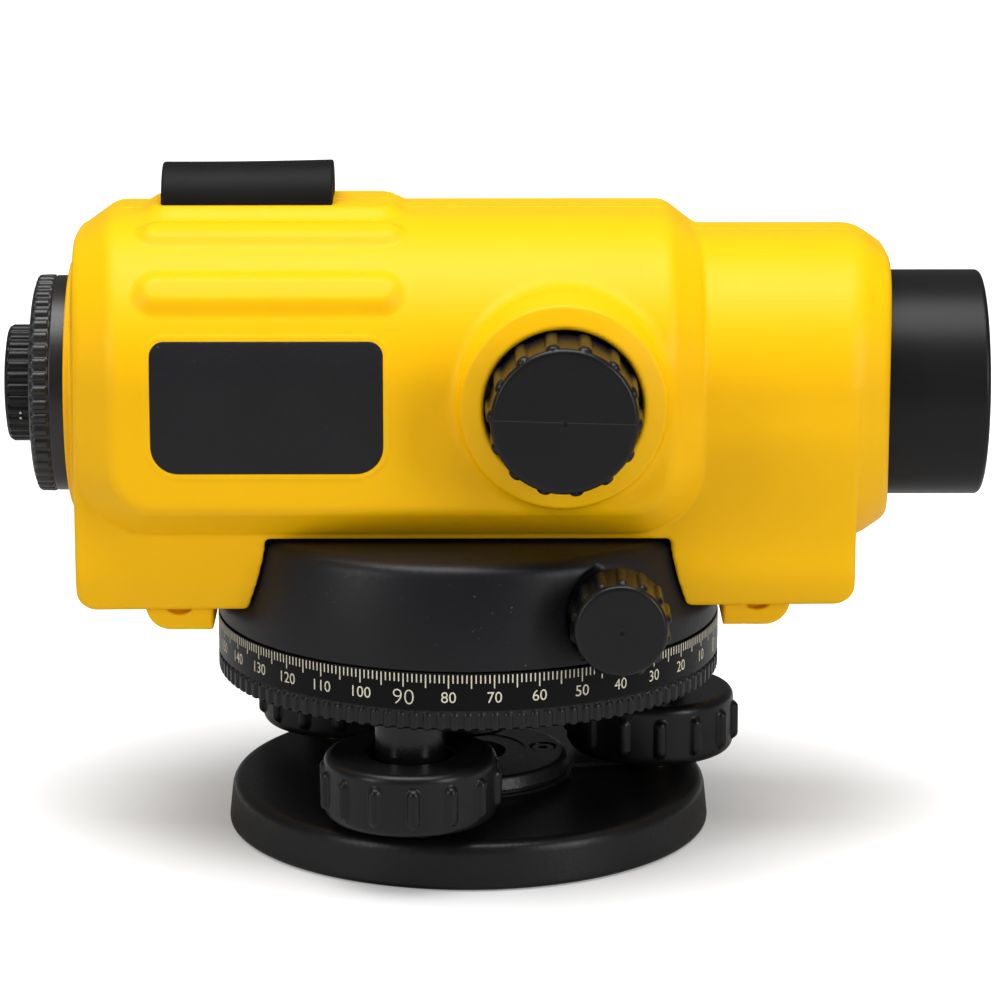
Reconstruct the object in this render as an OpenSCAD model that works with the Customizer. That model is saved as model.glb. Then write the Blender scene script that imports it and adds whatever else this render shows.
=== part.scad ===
// Automatic level: a surveyor's telescope on a rotating head, a graduated circle and a three-screw levelling base.
// Units are millimetres. Z is up, +X points at the target, -Y is the side with the focusing knob.
// The origin is on the vertical axis, level with the underside of the base plate.

/* [Base plate] */
// outer radius at the underside
base_radius = 50.8; // [45:0.1:60]
// thickness of the rim
base_height = 9.8; // [6:0.1:14]
// radius of the raised hub around the tripod thread
hub_radius = 21.2; // [18:0.1:24]
// radius of the central hole for the tripod screw
tripod_radius = 7.94; // [7:0.01:9]

/* [Foot screws] */
// distance of each foot screw from the vertical axis
foot_circle = 40; // [36:0.1:44]
// direction of the first foot screw, in degrees from +X
foot_direction = -107; // [-180:1:180]
// radius of a foot screw's grip
foot_knob_radius = 17.6; // [14:0.1:20]
// height of a foot screw's grip
foot_knob_height = 13; // [9:0.1:16]
// level of the underside of the grip
foot_knob_level = 12.6; // [11:0.1:15]
// radius of the threaded stem
stem_radius = 4; // [3:0.1:5]
// radius of the steel ball under each stem
ball_radius = 3; // [2:0.1:4]
// level of the ball centres
ball_level = 8; // [6:0.1:9]
// number of raised grips around each knob
grip_count = 14; // [10:1:20]

/* [Tribrach and circle] */
// level of the top of the three-armed body
tribrach_top = 34.2; // [32:0.1:36]
// outer radius of the graduated circle
circle_radius = 52.5; // [48:0.1:56]
// level of the circle's lower edge
circle_bottom = 34; // [33:0.05:36]
// level of the circle's upper edge
circle_top = 45.9; // [42:0.1:48]
// number of ridges on the circle's grip band
circle_ridges = 120; // [60:1:180]
// height of the grip band
circle_band = 4; // [3:0.1:6]

/* [Vertical axis and drive] */
// radius of the spindle
spindle_radius = 9; // [7:0.1:12]
// outer radius of the bearing bush
bush_radius = 12; // [10:0.1:15]
// pitch radius of the worm wheel
wheel_radius = 26.2; // [20:0.1:32]
// teeth on the worm wheel
wheel_teeth = 90; // [60:1:120]
// pitch radius of the worm
worm_radius = 4; // [3:0.1:6]
// level of the worm shaft
worm_level = 56.2; // [54:0.1:58]
// radius of the slow-motion knobs
tangent_radius = 9.3; // [7:0.1:11]
// distance of a slow-motion knob's face from the middle plane
tangent_face = 58; // [50:0.1:62]

/* [Head housing] */
// radius of the housing's lower part
housing_radius = 52.3; // [48:0.1:56]
// radius of the housing at its top edge
housing_top_radius = 49.7; // [46:0.1:52]
// level of the housing's lower edge
housing_bottom = 46.2; // [46:0.1:48]
// level of the housing's flat top
housing_top = 67.3; // [64:0.1:70]
// wall thickness of the housing
housing_wall = 2.6; // [2:0.1:4]

/* [Telescope casing] */
// level of the optical axis
optical_level = 94; // [90:0.1:98]
// half-width of the main casing
casing_half_width = 38.6; // [34:0.1:42]
// height of the casing's top over the optical axis
casing_rise = 36.8; // [34:0.1:42]
// half-width of the front part
front_half_width = 34; // [30:0.1:38]
// height of the front part's top over the optical axis
front_rise = 32.2; // [30:0.1:36]
// eyepiece end of the casing
casing_back = -79.6; // [-90:0.1:-70]
// step between the main and the front part
casing_step = 47.6; // [40:0.1:55]
// objective end of the casing
casing_front = 84.9; // [78:0.1:90]
// half-width of the lower skirt
skirt_half_width = 28.5; // [24:0.1:32]
// level of the skirt's lower edge
skirt_bottom = 52.3; // [50:0.1:56]
// wall thickness of the casing
casing_wall = 2.6; // [2:0.1:4]

/* [Optics] */
// outer radius of the objective hood
hood_radius = 23.3; // [20:0.1:26]
// front end of the hood
hood_front = 106.1; // [100:0.1:112]
// inner radius of the telescope barrel
barrel_radius = 21; // [19:0.1:23]
// radius of the objective lenses
lens_radius = 19.4; // [16:0.1:21]
// X position of the focusing knob's axis
focus_x = 19; // [10:0.1:26]
// level of the focusing knob's axis
focus_level = 97.75; // [94:0.05:102]
// radius of the focusing knob's face
focus_knob_radius = 14.2; // [12:0.1:17]
// distance of the focusing knob's face from the middle plane
focus_face = 55.6; // [50:0.1:60]
// gear module of the focusing rack
rack_module = 0.5; // [0.4:0.05:0.8]
// teeth on the focusing pinion
pinion_teeth = 14; // [12:1:20]
// radius of the large cover ring at the eyepiece end
cover_radius = 22.3; // [20:0.1:25]
// radius of the dioptre ring
diopter_radius = 12.05; // [10:0.05:14]
// rear end of the dioptre ring
eyepiece_back = -95.1; // [-100:0.1:-92]

/* [Circular vial] */
// X position of the vial's middle
vial_x = -46; // [-60:1:-30]
// distance of the vial's middle from the middle plane
vial_y = 49; // [46:0.5:54]
// level of the vial's glass
vial_level = 99; // [90:0.5:108]

/* [Hidden] */
$fn = 64;
foot_angles = [foot_direction, foot_direction + 120, foot_direction + 240];
foot_knob_top = foot_knob_level + foot_knob_height;
wheel_distance = wheel_radius + worm_radius;
pinion_radius = rack_module * pinion_teeth / 2;
rack_line = focus_level - pinion_radius;
running = 0.05;
mirror_pivot_x = vial_x + 11.4;
mirror_pivot_z = vial_level + 5.4;

// ---- shared shapes -------------------------------------------------------------------------

// a straight round bar along X
module bar_x(x0, x1, r, y = 0, z = optical_level, r2 = -1) {
    translate([x0, y, z])
        rotate([0, 90, 0])
            cylinder(h = x1 - x0, r1 = r, r2 = r2 < 0 ? r : r2);
}

// a straight round bar along Y
module bar_y(y0, y1, r, x = 0, z = 0, r2 = -1) {
    translate([x, y1, z])
        rotate([90, 0, 0])
            cylinder(h = y1 - y0, r1 = r2 < 0 ? r : r2, r2 = r);
}

// a profile in the Y-Z plane stretched along X
module stretch_x(x0, x1) {
    translate([x0, 0, 0])
        rotate([90, 0, 90])
            linear_extrude(height = x1 - x0)
                children();
}

// a profile in the X-Z plane stretched along Y
module stretch_y(y0, y1) {
    translate([0, y1, 0])
        rotate([90, 0, 0])
            linear_extrude(height = y1 - y0)
                children();
}

// a box between two corners
module block(a, b) {
    translate(a)
        cube([b[0] - a[0], b[1] - a[1], b[2] - a[2]]);
}

// points of a quarter round of radius r about c, from angle a0 to a1
function arc(c, r, a0, a1, n = 5) =
    [for (i = [0:n]) [c[0] + r * cos(a0 + (a1 - a0) * i / n), c[1] + r * sin(a0 + (a1 - a0) * i / n)]];

// a short upright grip with softened ends
module grip(height, r) {
    rotate_extrude($fn = 24)
        polygon([[0, -height / 2], [0.55 * r, -height / 2], [r, -height / 2 + 0.6 * r],
                 [r, height / 2 - 0.6 * r], [0.55 * r, height / 2], [0, height / 2]]);
}

// a ring of grips standing around the Z axis
module grips(count, r, height, size, level) {
    for (i = [0:count - 1])
        rotate([0, 0, i * 360 / count])
            translate([r, 0, level])
                grip(height, size);
}

// places its child at foot screw number i
module at_foot(i) {
    translate([foot_circle * cos(foot_angles[i]), foot_circle * sin(foot_angles[i]), 0])
        rotate([0, 0, foot_angles[i]])
            children();
}

// ---- base plate group ----------------------------------------------------------------------

module base_plate() {
    color([0.07, 0.07, 0.075])
        difference() {
            union() {
                rotate_extrude($fn = 96)
                    polygon(concat([[bush_radius, 0], [24, 0], [25, 1], [43, 1], [44, 0]],
                                   arc([base_radius - 0.8, 0.8], 0.8, -90, 0, 3),
                                   arc([base_radius - 2.7, base_height - 1.5], 1.5, 10, 90, 4),
                                   [[hub_radius, base_height], [hub_radius, 10.6], [bush_radius, 10.6]]));
            }
            for (i = [0:2])
                at_foot(i) {
                    translate([0, 0, ball_level - 0.4])
                        cylinder(h = 5, r = 6.8);
                    translate([0, 0, ball_level])
                        sphere(r = ball_radius + running);
                }
            for (i = [0:2])
                rotate([0, 0, foot_angles[i] - 5])
                    translate([16, 0, 3])
                        cylinder(h = 10, r = 1.5);
        }
}

module tripod_insert() {
    color([0.72, 0.73, 0.75])
        difference() {
            cylinder(h = 14, r = bush_radius);
            translate([0, 0, -1])
                cylinder(h = 16, r = tripod_radius);
        }
}

module foot_ball(i) {
    color([0.8, 0.81, 0.83])
        at_foot(i)
            translate([0, 0, ball_level])
                sphere(r = ball_radius);
}

module foot_ball_1() {
    foot_ball(0);
}

module foot_ball_2() {
    foot_ball(1);
}

module foot_ball_3() {
    foot_ball(2);
}

module spring_plate() {
    color([0.3, 0.3, 0.32])
        translate([0, 0, 10.6])
            linear_extrude(height = 0.8)
                difference() {
                    union() {
                        circle(r = hub_radius - 0.4);
                        for (a = foot_angles)
                            rotate([0, 0, a]) {
                                translate([10, -6.5])
                                    square([foot_circle - 10, 13]);
                                translate([foot_circle, 0])
                                    circle(r = 8.6);
                            }
                    }
                    circle(r = bush_radius);
                    for (a = foot_angles)
                        rotate([0, 0, a])
                            translate([foot_circle, 0])
                                circle(r = 5.5);
                    for (a = foot_angles)
                        rotate([0, 0, a - 5])
                            translate([16, 0])
                                circle(r = 1.6);
                }
}

module hub_cover() {
    color([0.07, 0.07, 0.075])
        difference() {
            rotate_extrude()
                polygon([[bush_radius, 11.4], [hub_radius, 11.4], [hub_radius, 12.6], [20.5, 13.4],
                         [20.2, 14.2], [bush_radius + 0.4, 14.2], [bush_radius, 13.8]]);
            for (i = [0:2])
                rotate([0, 0, foot_angles[i] - 5])
                    translate([16, 0, 10]) {
                        cylinder(h = 6, r = 1.6);
                        translate([0, 0, 2.5])
                            cylinder(h = 6, r = 2.8);
                    }
        }
}

module plate_screws() {
    color([0.6, 0.6, 0.62])
        for (i = [0:2])
            rotate([0, 0, foot_angles[i] - 5])
                translate([16, 0, 0])
                    difference() {
                        union() {
                            translate([0, 0, 4])
                                cylinder(h = 8.5, r = 1.5);
                            translate([0, 0, 12.5])
                                cylinder(h = 1.5, r1 = 2.6, r2 = 2.3);
                        }
                        translate([0, 0, 13])
                            cylinder(h = 2, r = 1.2, $fn = 6);
                    }
}

// ---- foot screws ---------------------------------------------------------------------------

module foot_pad(i) {
    color([0.55, 0.53, 0.45])
        at_foot(i)
            difference() {
                union() {
                    translate([0, 0, ball_level + 0.5])
                        cylinder(h = 1.5, r = 6);
                    translate([0, 0, ball_level + 1])
                        cylinder(h = 4.4, r = 4.8);
                }
                translate([0, 0, ball_level])
                    sphere(r = ball_radius + 0.1);
                translate([0, 0, ball_level + 2])
                    cylinder(h = 5, r = 1.8 + running);
            }
}

module foot_pad_1() {
    foot_pad(0);
}

module foot_pad_2() {
    foot_pad(1);
}

module foot_pad_3() {
    foot_pad(2);
}

module foot_stem(i) {
    color([0.75, 0.76, 0.78])
        at_foot(i)
            rotate_extrude()
                polygon([[0, 11.6], [1.4, 11.6], [1.8, 12], [1.8, 13.5], [stem_radius - 0.4, 13.5],
                         [stem_radius, 13.9], [stem_radius, 30.6], [stem_radius - 0.6, 31.2], [0, 31.2]]);
}

module foot_stem_1() {
    foot_stem(0);
}

module foot_stem_2() {
    foot_stem(1);
}

module foot_stem_3() {
    foot_stem(2);
}

module foot_knob(i) {
    color([0.06, 0.06, 0.065])
        at_foot(i) {
            rotate_extrude()
                polygon(concat([[stem_radius, 14], [7, 14], [7, foot_knob_level]],
                               arc([foot_knob_radius - 1.6, foot_knob_level + 1.6], 1.6, -90, 0),
                               arc([foot_knob_radius - 1.8, foot_knob_top - 1.8], 1.8, 0, 90),
                               [[8.9, foot_knob_top], [8.4, foot_knob_top - 0.5], [8.4, foot_knob_top - 3.8],
                                [stem_radius, foot_knob_top - 3.8]]));
            grips(grip_count, foot_knob_radius - 0.4, 7.7, 1.25, foot_knob_level + 6.4);
        }
}

module foot_knob_1() {
    foot_knob(0);
}

module foot_knob_2() {
    foot_knob(1);
}

module foot_knob_3() {
    foot_knob(2);
}

// ---- tribrach, circle and vertical axis ----------------------------------------------------

module tribrach_body() {
    color([0.09, 0.09, 0.095])
        difference() {
            union() {
                translate([0, 0, 29.6])
                    linear_extrude(height = tribrach_top - 29.6)
                        union() {
                            circle(r = 27);
                            for (a = foot_angles)
                                rotate([0, 0, a]) {
                                    translate([15, -6.4])
                                        square([foot_circle - 15, 12.8]);
                                    translate([foot_circle, 0])
                                        circle(r = 7.6);
                                }
                        }
                translate([0, 0, 28])
                    cylinder(h = 4, r = 25);
                translate([0, 0, 30])
                    cylinder(h = 8.4, r = 20);
                for (i = [0:2])
                    at_foot(i)
                        translate([0, 0, 24.2])
                            cylinder(h = 8, r = 7.2);
            }
            translate([0, 0, 20])
                cylinder(h = 30, r = bush_radius);
            for (i = [0:2])
                at_foot(i)
                    translate([0, 0, 24])
                        cylinder(h = 9.4, r = stem_radius + running);
        }
}

module axis_bush() {
    color([0.72, 0.6, 0.32])
        difference() {
            union() {
                translate([0, 0, 28])
                    cylinder(h = 34.2, r = bush_radius);
                translate([0, 0, 38.6])
                    cylinder(h = 14.5, r = 15);
            }
            translate([0, 0, 27])
                cylinder(h = 37, r = spindle_radius + running);
        }
}

module horizontal_circle() {
    color([0.05, 0.05, 0.055]) {
        rotate_extrude($fn = 96)
            polygon([[20.1, 35], [49, 35], [49.6, circle_bottom], [51.6, circle_bottom],
                     [51.6, circle_bottom + circle_band], [circle_radius, circle_bottom + circle_band],
                     [circle_radius, circle_top - 0.3], [circle_radius - 0.3, circle_top],
                     [50.4, circle_top], [50.4, 37.2], [20.1, 37.2]]);
        translate([0, 0, circle_bottom])
            linear_extrude(height = circle_band + 0.3)
                difference() {
                    polygon([for (i = [0:circle_ridges - 1], k = [0, 0.28, 0.5, 0.78])
                             let (a = (i + k) * 360 / circle_ridges,
                                  r = (k == 0.28 || k == 0) ? circle_radius - 0.05 : circle_radius - 0.6)
                             [r * cos(a), r * sin(a)]]);
                    circle(r = 51.4);
                }
    }
}

module worm_wheel() {
    color([0.74, 0.6, 0.3])
        translate([0, 0, worm_level - 2.9])
            linear_extrude(height = 5.8)
                difference() {
                    polygon([for (i = [0:wheel_teeth - 1], k = [0, 0.3, 0.5, 0.8])
                             let (a = (i + k) * 360 / wheel_teeth,
                                  r = k < 0.4 ? wheel_radius : wheel_radius - 0.9)
                             [r * cos(a), r * sin(a)]]);
                    circle(r = bush_radius + running);
                }
}

module clutch_spring() {
    color([0.7, 0.71, 0.73])
        translate([0, 0, worm_level + 2.95])
            difference() {
                cylinder(h = 0.7, r = 17);
                translate([0, 0, -1])
                    cylinder(h = 3, r = bush_radius + running);
            }
}

module clutch_nut() {
    color([0.5, 0.5, 0.52])
        translate([0, 0, worm_level + 3.7])
            difference() {
                cylinder(h = 2, r = 15.5);
                translate([0, 0, -1])
                    cylinder(h = 4, r = bush_radius);
                for (i = [0:3])
                    rotate([0, 0, i * 90])
                        block([14, -1.2, -1], [17, 1.2, 3]);
            }
}

module spindle() {
    color([0.72, 0.73, 0.75])
        rotate_extrude()
            polygon([[3, 19.4], [spindle_radius - 1, 19.4], [spindle_radius, 20.4], [spindle_radius, 62.5],
                     [17, 62.5], [17, housing_top - 2.5], [3, housing_top - 2.5]]);
}

module spindle_nut() {
    color([0.5, 0.5, 0.52])
        difference() {
            translate([0, 0, 22.4])
                cylinder(h = 5, r = 13);
            translate([0, 0, 20])
                cylinder(h = 10, r = spindle_radius);
            for (i = [0:3])
                rotate([0, 0, i * 90 + 45])
                    block([11.4, -1.3, 20], [15, 1.3, 29]);
        }
}

// ---- head housing and slow-motion drive ----------------------------------------------------

// outline of the housing, grown by g
function housing_points(g) =
    concat([[0, housing_bottom - g], [housing_radius + g, housing_bottom - g]],
           arc([housing_radius - 30 + g, housing_bottom + 9.6], 30, 0, 3, 1),
           arc([housing_top_radius - 1.6 + g, housing_top - 1.6 + g], 1.6, 5, 90, 5),
           [[0, housing_top + g]]);

module base_housing() {
    color([0.05, 0.05, 0.06])
        difference() {
            union() {
                difference() {
                    rotate_extrude($fn = 96)
                        polygon(housing_points(0));
                    translate([0, 0, housing_bottom - 1])
                        cylinder(h = housing_top - housing_bottom - 1.5, r1 = housing_radius - housing_wall,
                                 r2 = housing_top_radius - housing_wall);
                }
                intersection() {
                    bar_y(-tangent_face, tangent_face, 13, wheel_distance, worm_level);
                    difference() {
                        rotate_extrude($fn = 96)
                            polygon(housing_points(0));
                        block([-60, -34, 40], [60, 34, 80]);
                        block([-60, -60, 40], [60, 60, housing_bottom + 1.3]);
                    }
                }
            }
            for (s = [-1, 1])
                bar_y(s < 0 ? -70 : 42.7, s < 0 ? -42.7 : 70, tangent_radius + 1.1, wheel_distance, worm_level);
            bar_y(-60, 60, 3 + running, wheel_distance, worm_level);
        }
}

module housing_floor() {
    color([0.1, 0.1, 0.105])
        difference() {
            translate([0, 0, housing_bottom])
                cylinder(h = 1.2, r = housing_radius - housing_wall - 0.5);
            translate([0, 0, housing_bottom - 1])
                cylinder(h = 4, r = 15.6);
        }
}

module worm() {
    color([0.75, 0.76, 0.78]) {
        bar_y(-52, 52, 3, wheel_distance, worm_level);
        bar_y(-8, 8, worm_radius - running, wheel_distance, worm_level);
        for (s = [-1, 1])
            bar_y(s < 0 ? -33.4 : 32.2, s < 0 ? -32.2 : 33.4, 3.9, wheel_distance, worm_level);
    }
}

// a slow-motion knob standing on Y, its outer face at -tangent_face
module tangent_knob() {
    color([0.06, 0.06, 0.065])
        translate([wheel_distance, 0, worm_level])
            rotate([90, 0, 0]) {
                rotate_extrude()
                    polygon(concat([[3, 43.1], [tangent_radius - 1.4, 43.1], [tangent_radius - 1, 43.5],
                                    [tangent_radius, 45]],
                                   arc([tangent_radius - 1.2, tangent_face - 1.2], 1.2, 0, 90),
                                   [[0, tangent_face], [0, 52], [3, 52]]));
                grips(grip_count, tangent_radius - 0.3, 7.5, 0.9, 50.4);
            }
}

module tangent_knob_right() {
    tangent_knob();
}

module tangent_knob_left() {
    mirror([0, 1, 0])
        tangent_knob();
}

// ---- telescope barrel and casing -----------------------------------------------------------

module telescope_body() {
    color([0.32, 0.33, 0.35])
        difference() {
            union() {
                bar_x(-78, 75, barrel_radius + 3);
                bar_x(74, casing_front - 3, barrel_radius + 1.6);
                block([-40, -15, housing_top], [46, 15, optical_level - 12]);
                translate([0, 0, housing_top])
                    cylinder(h = 4.1, r = 24.4);
                bar_y(-30.4, -10, 8, focus_x, focus_level);
                block([-60, 18, optical_level - 8], [-32, 34.5, optical_level - 0.5]);
            }
            bar_x(-90, 90, barrel_radius);
            bar_y(-40, 0, 2.5 + running, focus_x, focus_level);
        }
}

// half of the casing's section seen along X: the point list runs from the crown down one side
function casing_side(half, rise, n) =
    concat([for (i = [0:11])
            let (t = i * 90 / 12)
            [half * pow(sin(t), 2 / n), optical_level + rise * pow(cos(t), 2 / n)]],
           [[half, optical_level], [half, optical_level - 10], [half - 0.4, optical_level - 15],
            [half - 1.4, optical_level - 18],
            [(half + skirt_half_width) / 2, optical_level - 22.6],
            [skirt_half_width + 0.6, optical_level - 25.3], [skirt_half_width, optical_level - 26.2],
            [skirt_half_width, skirt_bottom + 5], [skirt_half_width - 1.1, skirt_bottom]]);

module casing_section(half, rise, n, shrink = 0) {
    side = casing_side(half, rise, n);
    count = len(side);
    offset(delta = -shrink)
        polygon(concat(side, [for (i = [count - 1:-1:1]) [-side[i][0], side[i][1] - (i == 0 ? 1 : 0)]]));
}

module casing_main(shrink = 0) {
    intersection() {
        stretch_x(casing_back + shrink, casing_step - shrink)
            casing_section(casing_half_width, casing_rise, 2.5, shrink);
        stretch_y(-60, 60)
            offset(delta = -shrink)
                polygon([[casing_back + 4, skirt_bottom - shrink * 2], [casing_back, skirt_bottom + 4],
                         [casing_back, 119.5], [casing_back + 1, 125.3], [casing_back + 6.8, optical_level + 37.2],
                         [casing_step - 7, optical_level + 37.2], [casing_step, optical_level + 31.3],
                         [casing_step, skirt_bottom - shrink * 2]]);
    }
}

module casing_nose(shrink = 0) {
    intersection() {
        stretch_x(casing_step - 8, casing_front - shrink)
            casing_section(front_half_width, front_rise, 2.6, shrink);
        stretch_y(-60, 60)
            offset(delta = -shrink)
                polygon([[casing_step - 12, skirt_bottom - shrink * 2], [74.6, skirt_bottom - shrink * 2],
                         [76.8, skirt_bottom + 1.4], [77.9, skirt_bottom + 4], [77.9, 63.5],
                         [casing_front - 2, 66.5], [casing_front, 70.5], [casing_front, 118.3],
                         [casing_front - 1.4, 120.8], [casing_front - 6.5, optical_level + 33.2],
                         [casing_step - 12, optical_level + 33.2]]);
    }
}

// a raised rounded ridge along the upper part of the casing, tilted by a from the crown
module ridge(a, r) {
    translate([-67, 0, optical_level])
        rotate([a, 0, 0])
            translate([0, 0, r])
                rotate([0, 90, 0])
                    rotate_extrude($fn = 32)
                        polygon(concat([[0, 0]], arc([0, 5.5], 5.5, -90, 0, 5),
                                       arc([0, 48.9], 5.5, 0, 90, 5)));
}

// the whole casing before it is split along the middle plane
module casing() {
    difference() {
        union() {
            casing_main();
            casing_nose();
            bar_x(casing_back - 2, casing_back + 3, 25.6);
            ridge(0, 33.1);
            for (s = [-1, 1]) {
                ridge(s * 11, 33);
                ridge(s * 28.7, 34.7);
                ridge(s * 52.3, 36.35);
            }
            bar_y(-37, -20, 24, focus_x, focus_level);
            bar_y(-45, -36.9, 19.7, focus_x, focus_level, 24);
            for (s = [-1, 1])
                stretch_y(-22, 22)
                    translate([s * 58.7, 0])
                        polygon([[-6.8, 56], [-6.8, 49], [-6.2, 48.5], [3.2 * s - 0.4, 48.5],
                                 [6.4, 50], [6.8, 51.4], [6.8, 56]]);
        }
        difference() {
            union() {
                casing_main(casing_wall);
                casing_nose(casing_wall);
                stretch_x(casing_step - 12, casing_step + 4)
                    casing_section(front_half_width, front_rise, 2.6, casing_wall);
            }
            for (s = [-1, 1])
                bar_y(-24, 24, 5, s * 58.7, 53.4);
        }
        translate([0, 0, -0.01])
            rotate_extrude($fn = 96)
                polygon(housing_points(0.5));
        block([-41.2, -50, 40], [41.2, 50, housing_top + 0.6]);
        bar_x(-90, -70, barrel_radius + 3);
        bar_x(70, 90, hood_radius + 0.3);
        bar_y(-46, -30, 15.8, focus_x, focus_level);
        bar_y(-40, -20, 8.4, focus_x, focus_level);
        for (s = [-1, 1]) {
            bar_y(-20, 30, 1.6, s * 58.7, 52.6);
            bar_y(19, 30, 3, s * 58.7, 52.6);
            bar_y(-30, -20.9, 3.2, s * 58.9, 51.6);
        }
        name_plate_shape(0.15, 37.4, 40);
        block([-61, 30, optical_level - 8.2], [-31, 36.4, optical_level + 0.2]);
        block([vial_x - 8.2, 34, vial_level - 12.2], [vial_x + 8.2, 42, vial_level - 5.8]);
    }
}

// the two moulded halves meet on the middle plane
module casing_right() {
    color([1, 0.8, 0.02])
        intersection() {
            casing();
            block([-100, -60, 40], [100, -0.02, 150]);
        }
}

module casing_left() {
    color([1, 0.8, 0.02])
        intersection() {
            casing();
            block([-100, 0.02, 40], [100, 60, 150]);
        }
}

module casing_screws() {
    color([0.2, 0.2, 0.21])
        for (s = [-1, 1])
            difference() {
                union() {
                    bar_y(-18, 20, 1.5, s * 58.7, 52.6);
                    bar_y(19.2, 21.8, 2.8, s * 58.7, 52.6);
                }
                translate([s * 58.7, 24, 52.6])
                    rotate([90, 0, 0])
                        cylinder(h = 3.4, r = 1.3, $fn = 6);
            }
}

// the label's outline, grown by g, between two distances from the middle plane
module name_plate_shape(g, y0, y1) {
    stretch_y(-y1, -y0)
        offset(r = 3.4 + g, $fn = 32)
            polygon([[-59.8, 86.8], [-20.1, 86.8], [-20.1, 107], [-59.8, 107]]);
}

module name_plate() {
    color([0.04, 0.04, 0.05])
        name_plate_shape(0, 37.4, 38.4);
}

// ---- objective -----------------------------------------------------------------------------

module objective_hood() {
    color([0.04, 0.04, 0.045])
        translate([0, 0, optical_level])
            rotate([0, 90, 0])
                rotate_extrude()
                    polygon([[19.45, 74], [20.95, 74], [20.95, casing_front - 3],
                             [hood_radius, casing_front - 3], [hood_radius, hood_front - 1.2],
                             [hood_radius - 0.5, hood_front - 0.3], [hood_radius - 1, hood_front],
                             [hood_radius - 1.5, hood_front - 0.2], [21.5, hood_front - 1],
                             [21.2, 96], [19.45, 95], [19.45, 86.2], [18.4, 86.2], [18.4, 85.4], [19.45, 85]]);
}

module objective_crown() {
    color([0.55, 0.75, 0.7, 0.4])
        translate([0, 0, optical_level])
            rotate([0, 90, 0])
                rotate_extrude()
                    polygon(concat([[0, 88.6], [lens_radius, 89.5], [lens_radius, 91]],
                                   [for (i = [5:-1:0]) [lens_radius * i / 6, 94 - 2.8 * pow(i / 6, 2)]]));
}

module objective_flint() {
    color([0.6, 0.75, 0.8, 0.4])
        translate([0, 0, optical_level])
            rotate([0, 90, 0])
                rotate_extrude()
                    polygon([[0, 86.4], [lens_radius, 86.4], [lens_radius, 89.4], [lens_radius - 0.2, 89.4],
                             [0, 88.5]]);
}

module objective_ring() {
    color([0.05, 0.05, 0.05])
        difference() {
            bar_x(91.6, 94, lens_radius);
            bar_x(91, 95, 18.2, r2 = 18.6);
        }
}

// ---- focusing ------------------------------------------------------------------------------

module focus_cell() {
    color([0.2, 0.2, 0.21])
        difference() {
            union() {
                bar_x(-22, -8, barrel_radius - running);
            }
            bar_x(-30, 0, 12.4);
            bar_x(-18, 0, 13.6);
            block([-30, -19, rack_line - 4], [0, -13.8, rack_line + 1]);
        }
}

module focus_lens() {
    color([0.6, 0.75, 0.8, 0.4])
        translate([0, 0, optical_level])
            rotate([0, 90, 0])
                rotate_extrude()
                    polygon([[0, -15.8], [9, -16.6], [13.5, -17.8], [13.5, -12.2], [9, -13.4], [0, -14.2]]);
}

// a straight rack whose teeth look up; one tooth space lies under the pinion
module focus_rack() {
    pitch = PI * rack_module;
    color([0.74, 0.6, 0.3])
        stretch_y(-18.8, -14)
            polygon(concat([[-20, rack_line - 3.8], [-20, rack_line - 0.65]],
                           [for (i = [-11:10], k = [0:3])
                            let (x = focus_x + (i + 0.5 + [-0.38, -0.13, 0.13, 0.38][k]) * pitch)
                            [x, rack_line + ((k == 1 || k == 2) ? 0.4 : -0.65)]],
                           [[focus_x + 12 * pitch, rack_line - 0.65], [focus_x + 12 * pitch, rack_line - 3.8]]));
}

// side of one pinion tooth: an involute from the base circle to the tip
function involute(base, r) =
    let (a = acos(base / r))
    tan(a) * 180 / PI - a;

module focus_pinion() {
    base = pinion_radius * cos(20);
    tip = pinion_radius + 0.42;
    root = pinion_radius - 0.62;
    at_pitch = involute(base, pinion_radius);
    half = 90 / pinion_teeth - 1.1 + at_pitch;
    radii = [base, base + (tip - base) * 0.35, base + (tip - base) * 0.7, tip];
    color([0.74, 0.6, 0.3])
        translate([focus_x, 0, focus_level])
            rotate([90, 0, 0]) {
                translate([0, 0, 14])
                    linear_extrude(height = 4.6)
                        polygon([for (i = [0:pinion_teeth - 1])
                                 let (mid = -90 + i * 360 / pinion_teeth)
                                 each concat(
                                     [[root * cos(mid - half), root * sin(mid - half)]],
                                     [for (r = radii)
                                      let (a = mid - half + involute(base, r))
                                      [r * cos(a), r * sin(a)]],
                                     [for (k = [3:-1:0])
                                      let (r = radii[k], a = mid + half - involute(base, r))
                                      [r * cos(a), r * sin(a)]],
                                     [[root * cos(mid + half), root * sin(mid + half)]])]);
                translate([0, 0, 14])
                    cylinder(h = 38, r = 2.5);
            }
}

module focus_knob() {
    color([0.06, 0.06, 0.065])
        translate([focus_x, 0, focus_level])
            rotate([90, 0, 0]) {
                rotate_extrude()
                    polygon(concat([[2.5, 37.4], [7, 37.4], [7, 40], [focus_knob_radius - 0.6, 40],
                                    [focus_knob_radius, 40.6]],
                                   arc([focus_knob_radius - 1.4, focus_face - 1.4], 1.4, 0, 90),
                                   [[0, focus_face], [0, 52], [2.5, 52]]));
                grips(grip_count, focus_knob_radius - 0.3, 8, 1.35, 49.4);
            }
}

// ---- compensator ---------------------------------------------------------------------------

module compensator_frame() {
    color([0.25, 0.25, 0.26])
        difference() {
            bar_x(-66, -38, barrel_radius);
            bar_x(-70, -30, 17.6);
            block([-62, -25, optical_level - 14], [-42, 25, optical_level + 14]);
            block([-58, -8, optical_level - 30], [-46, 8, optical_level]);
        }
}

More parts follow.
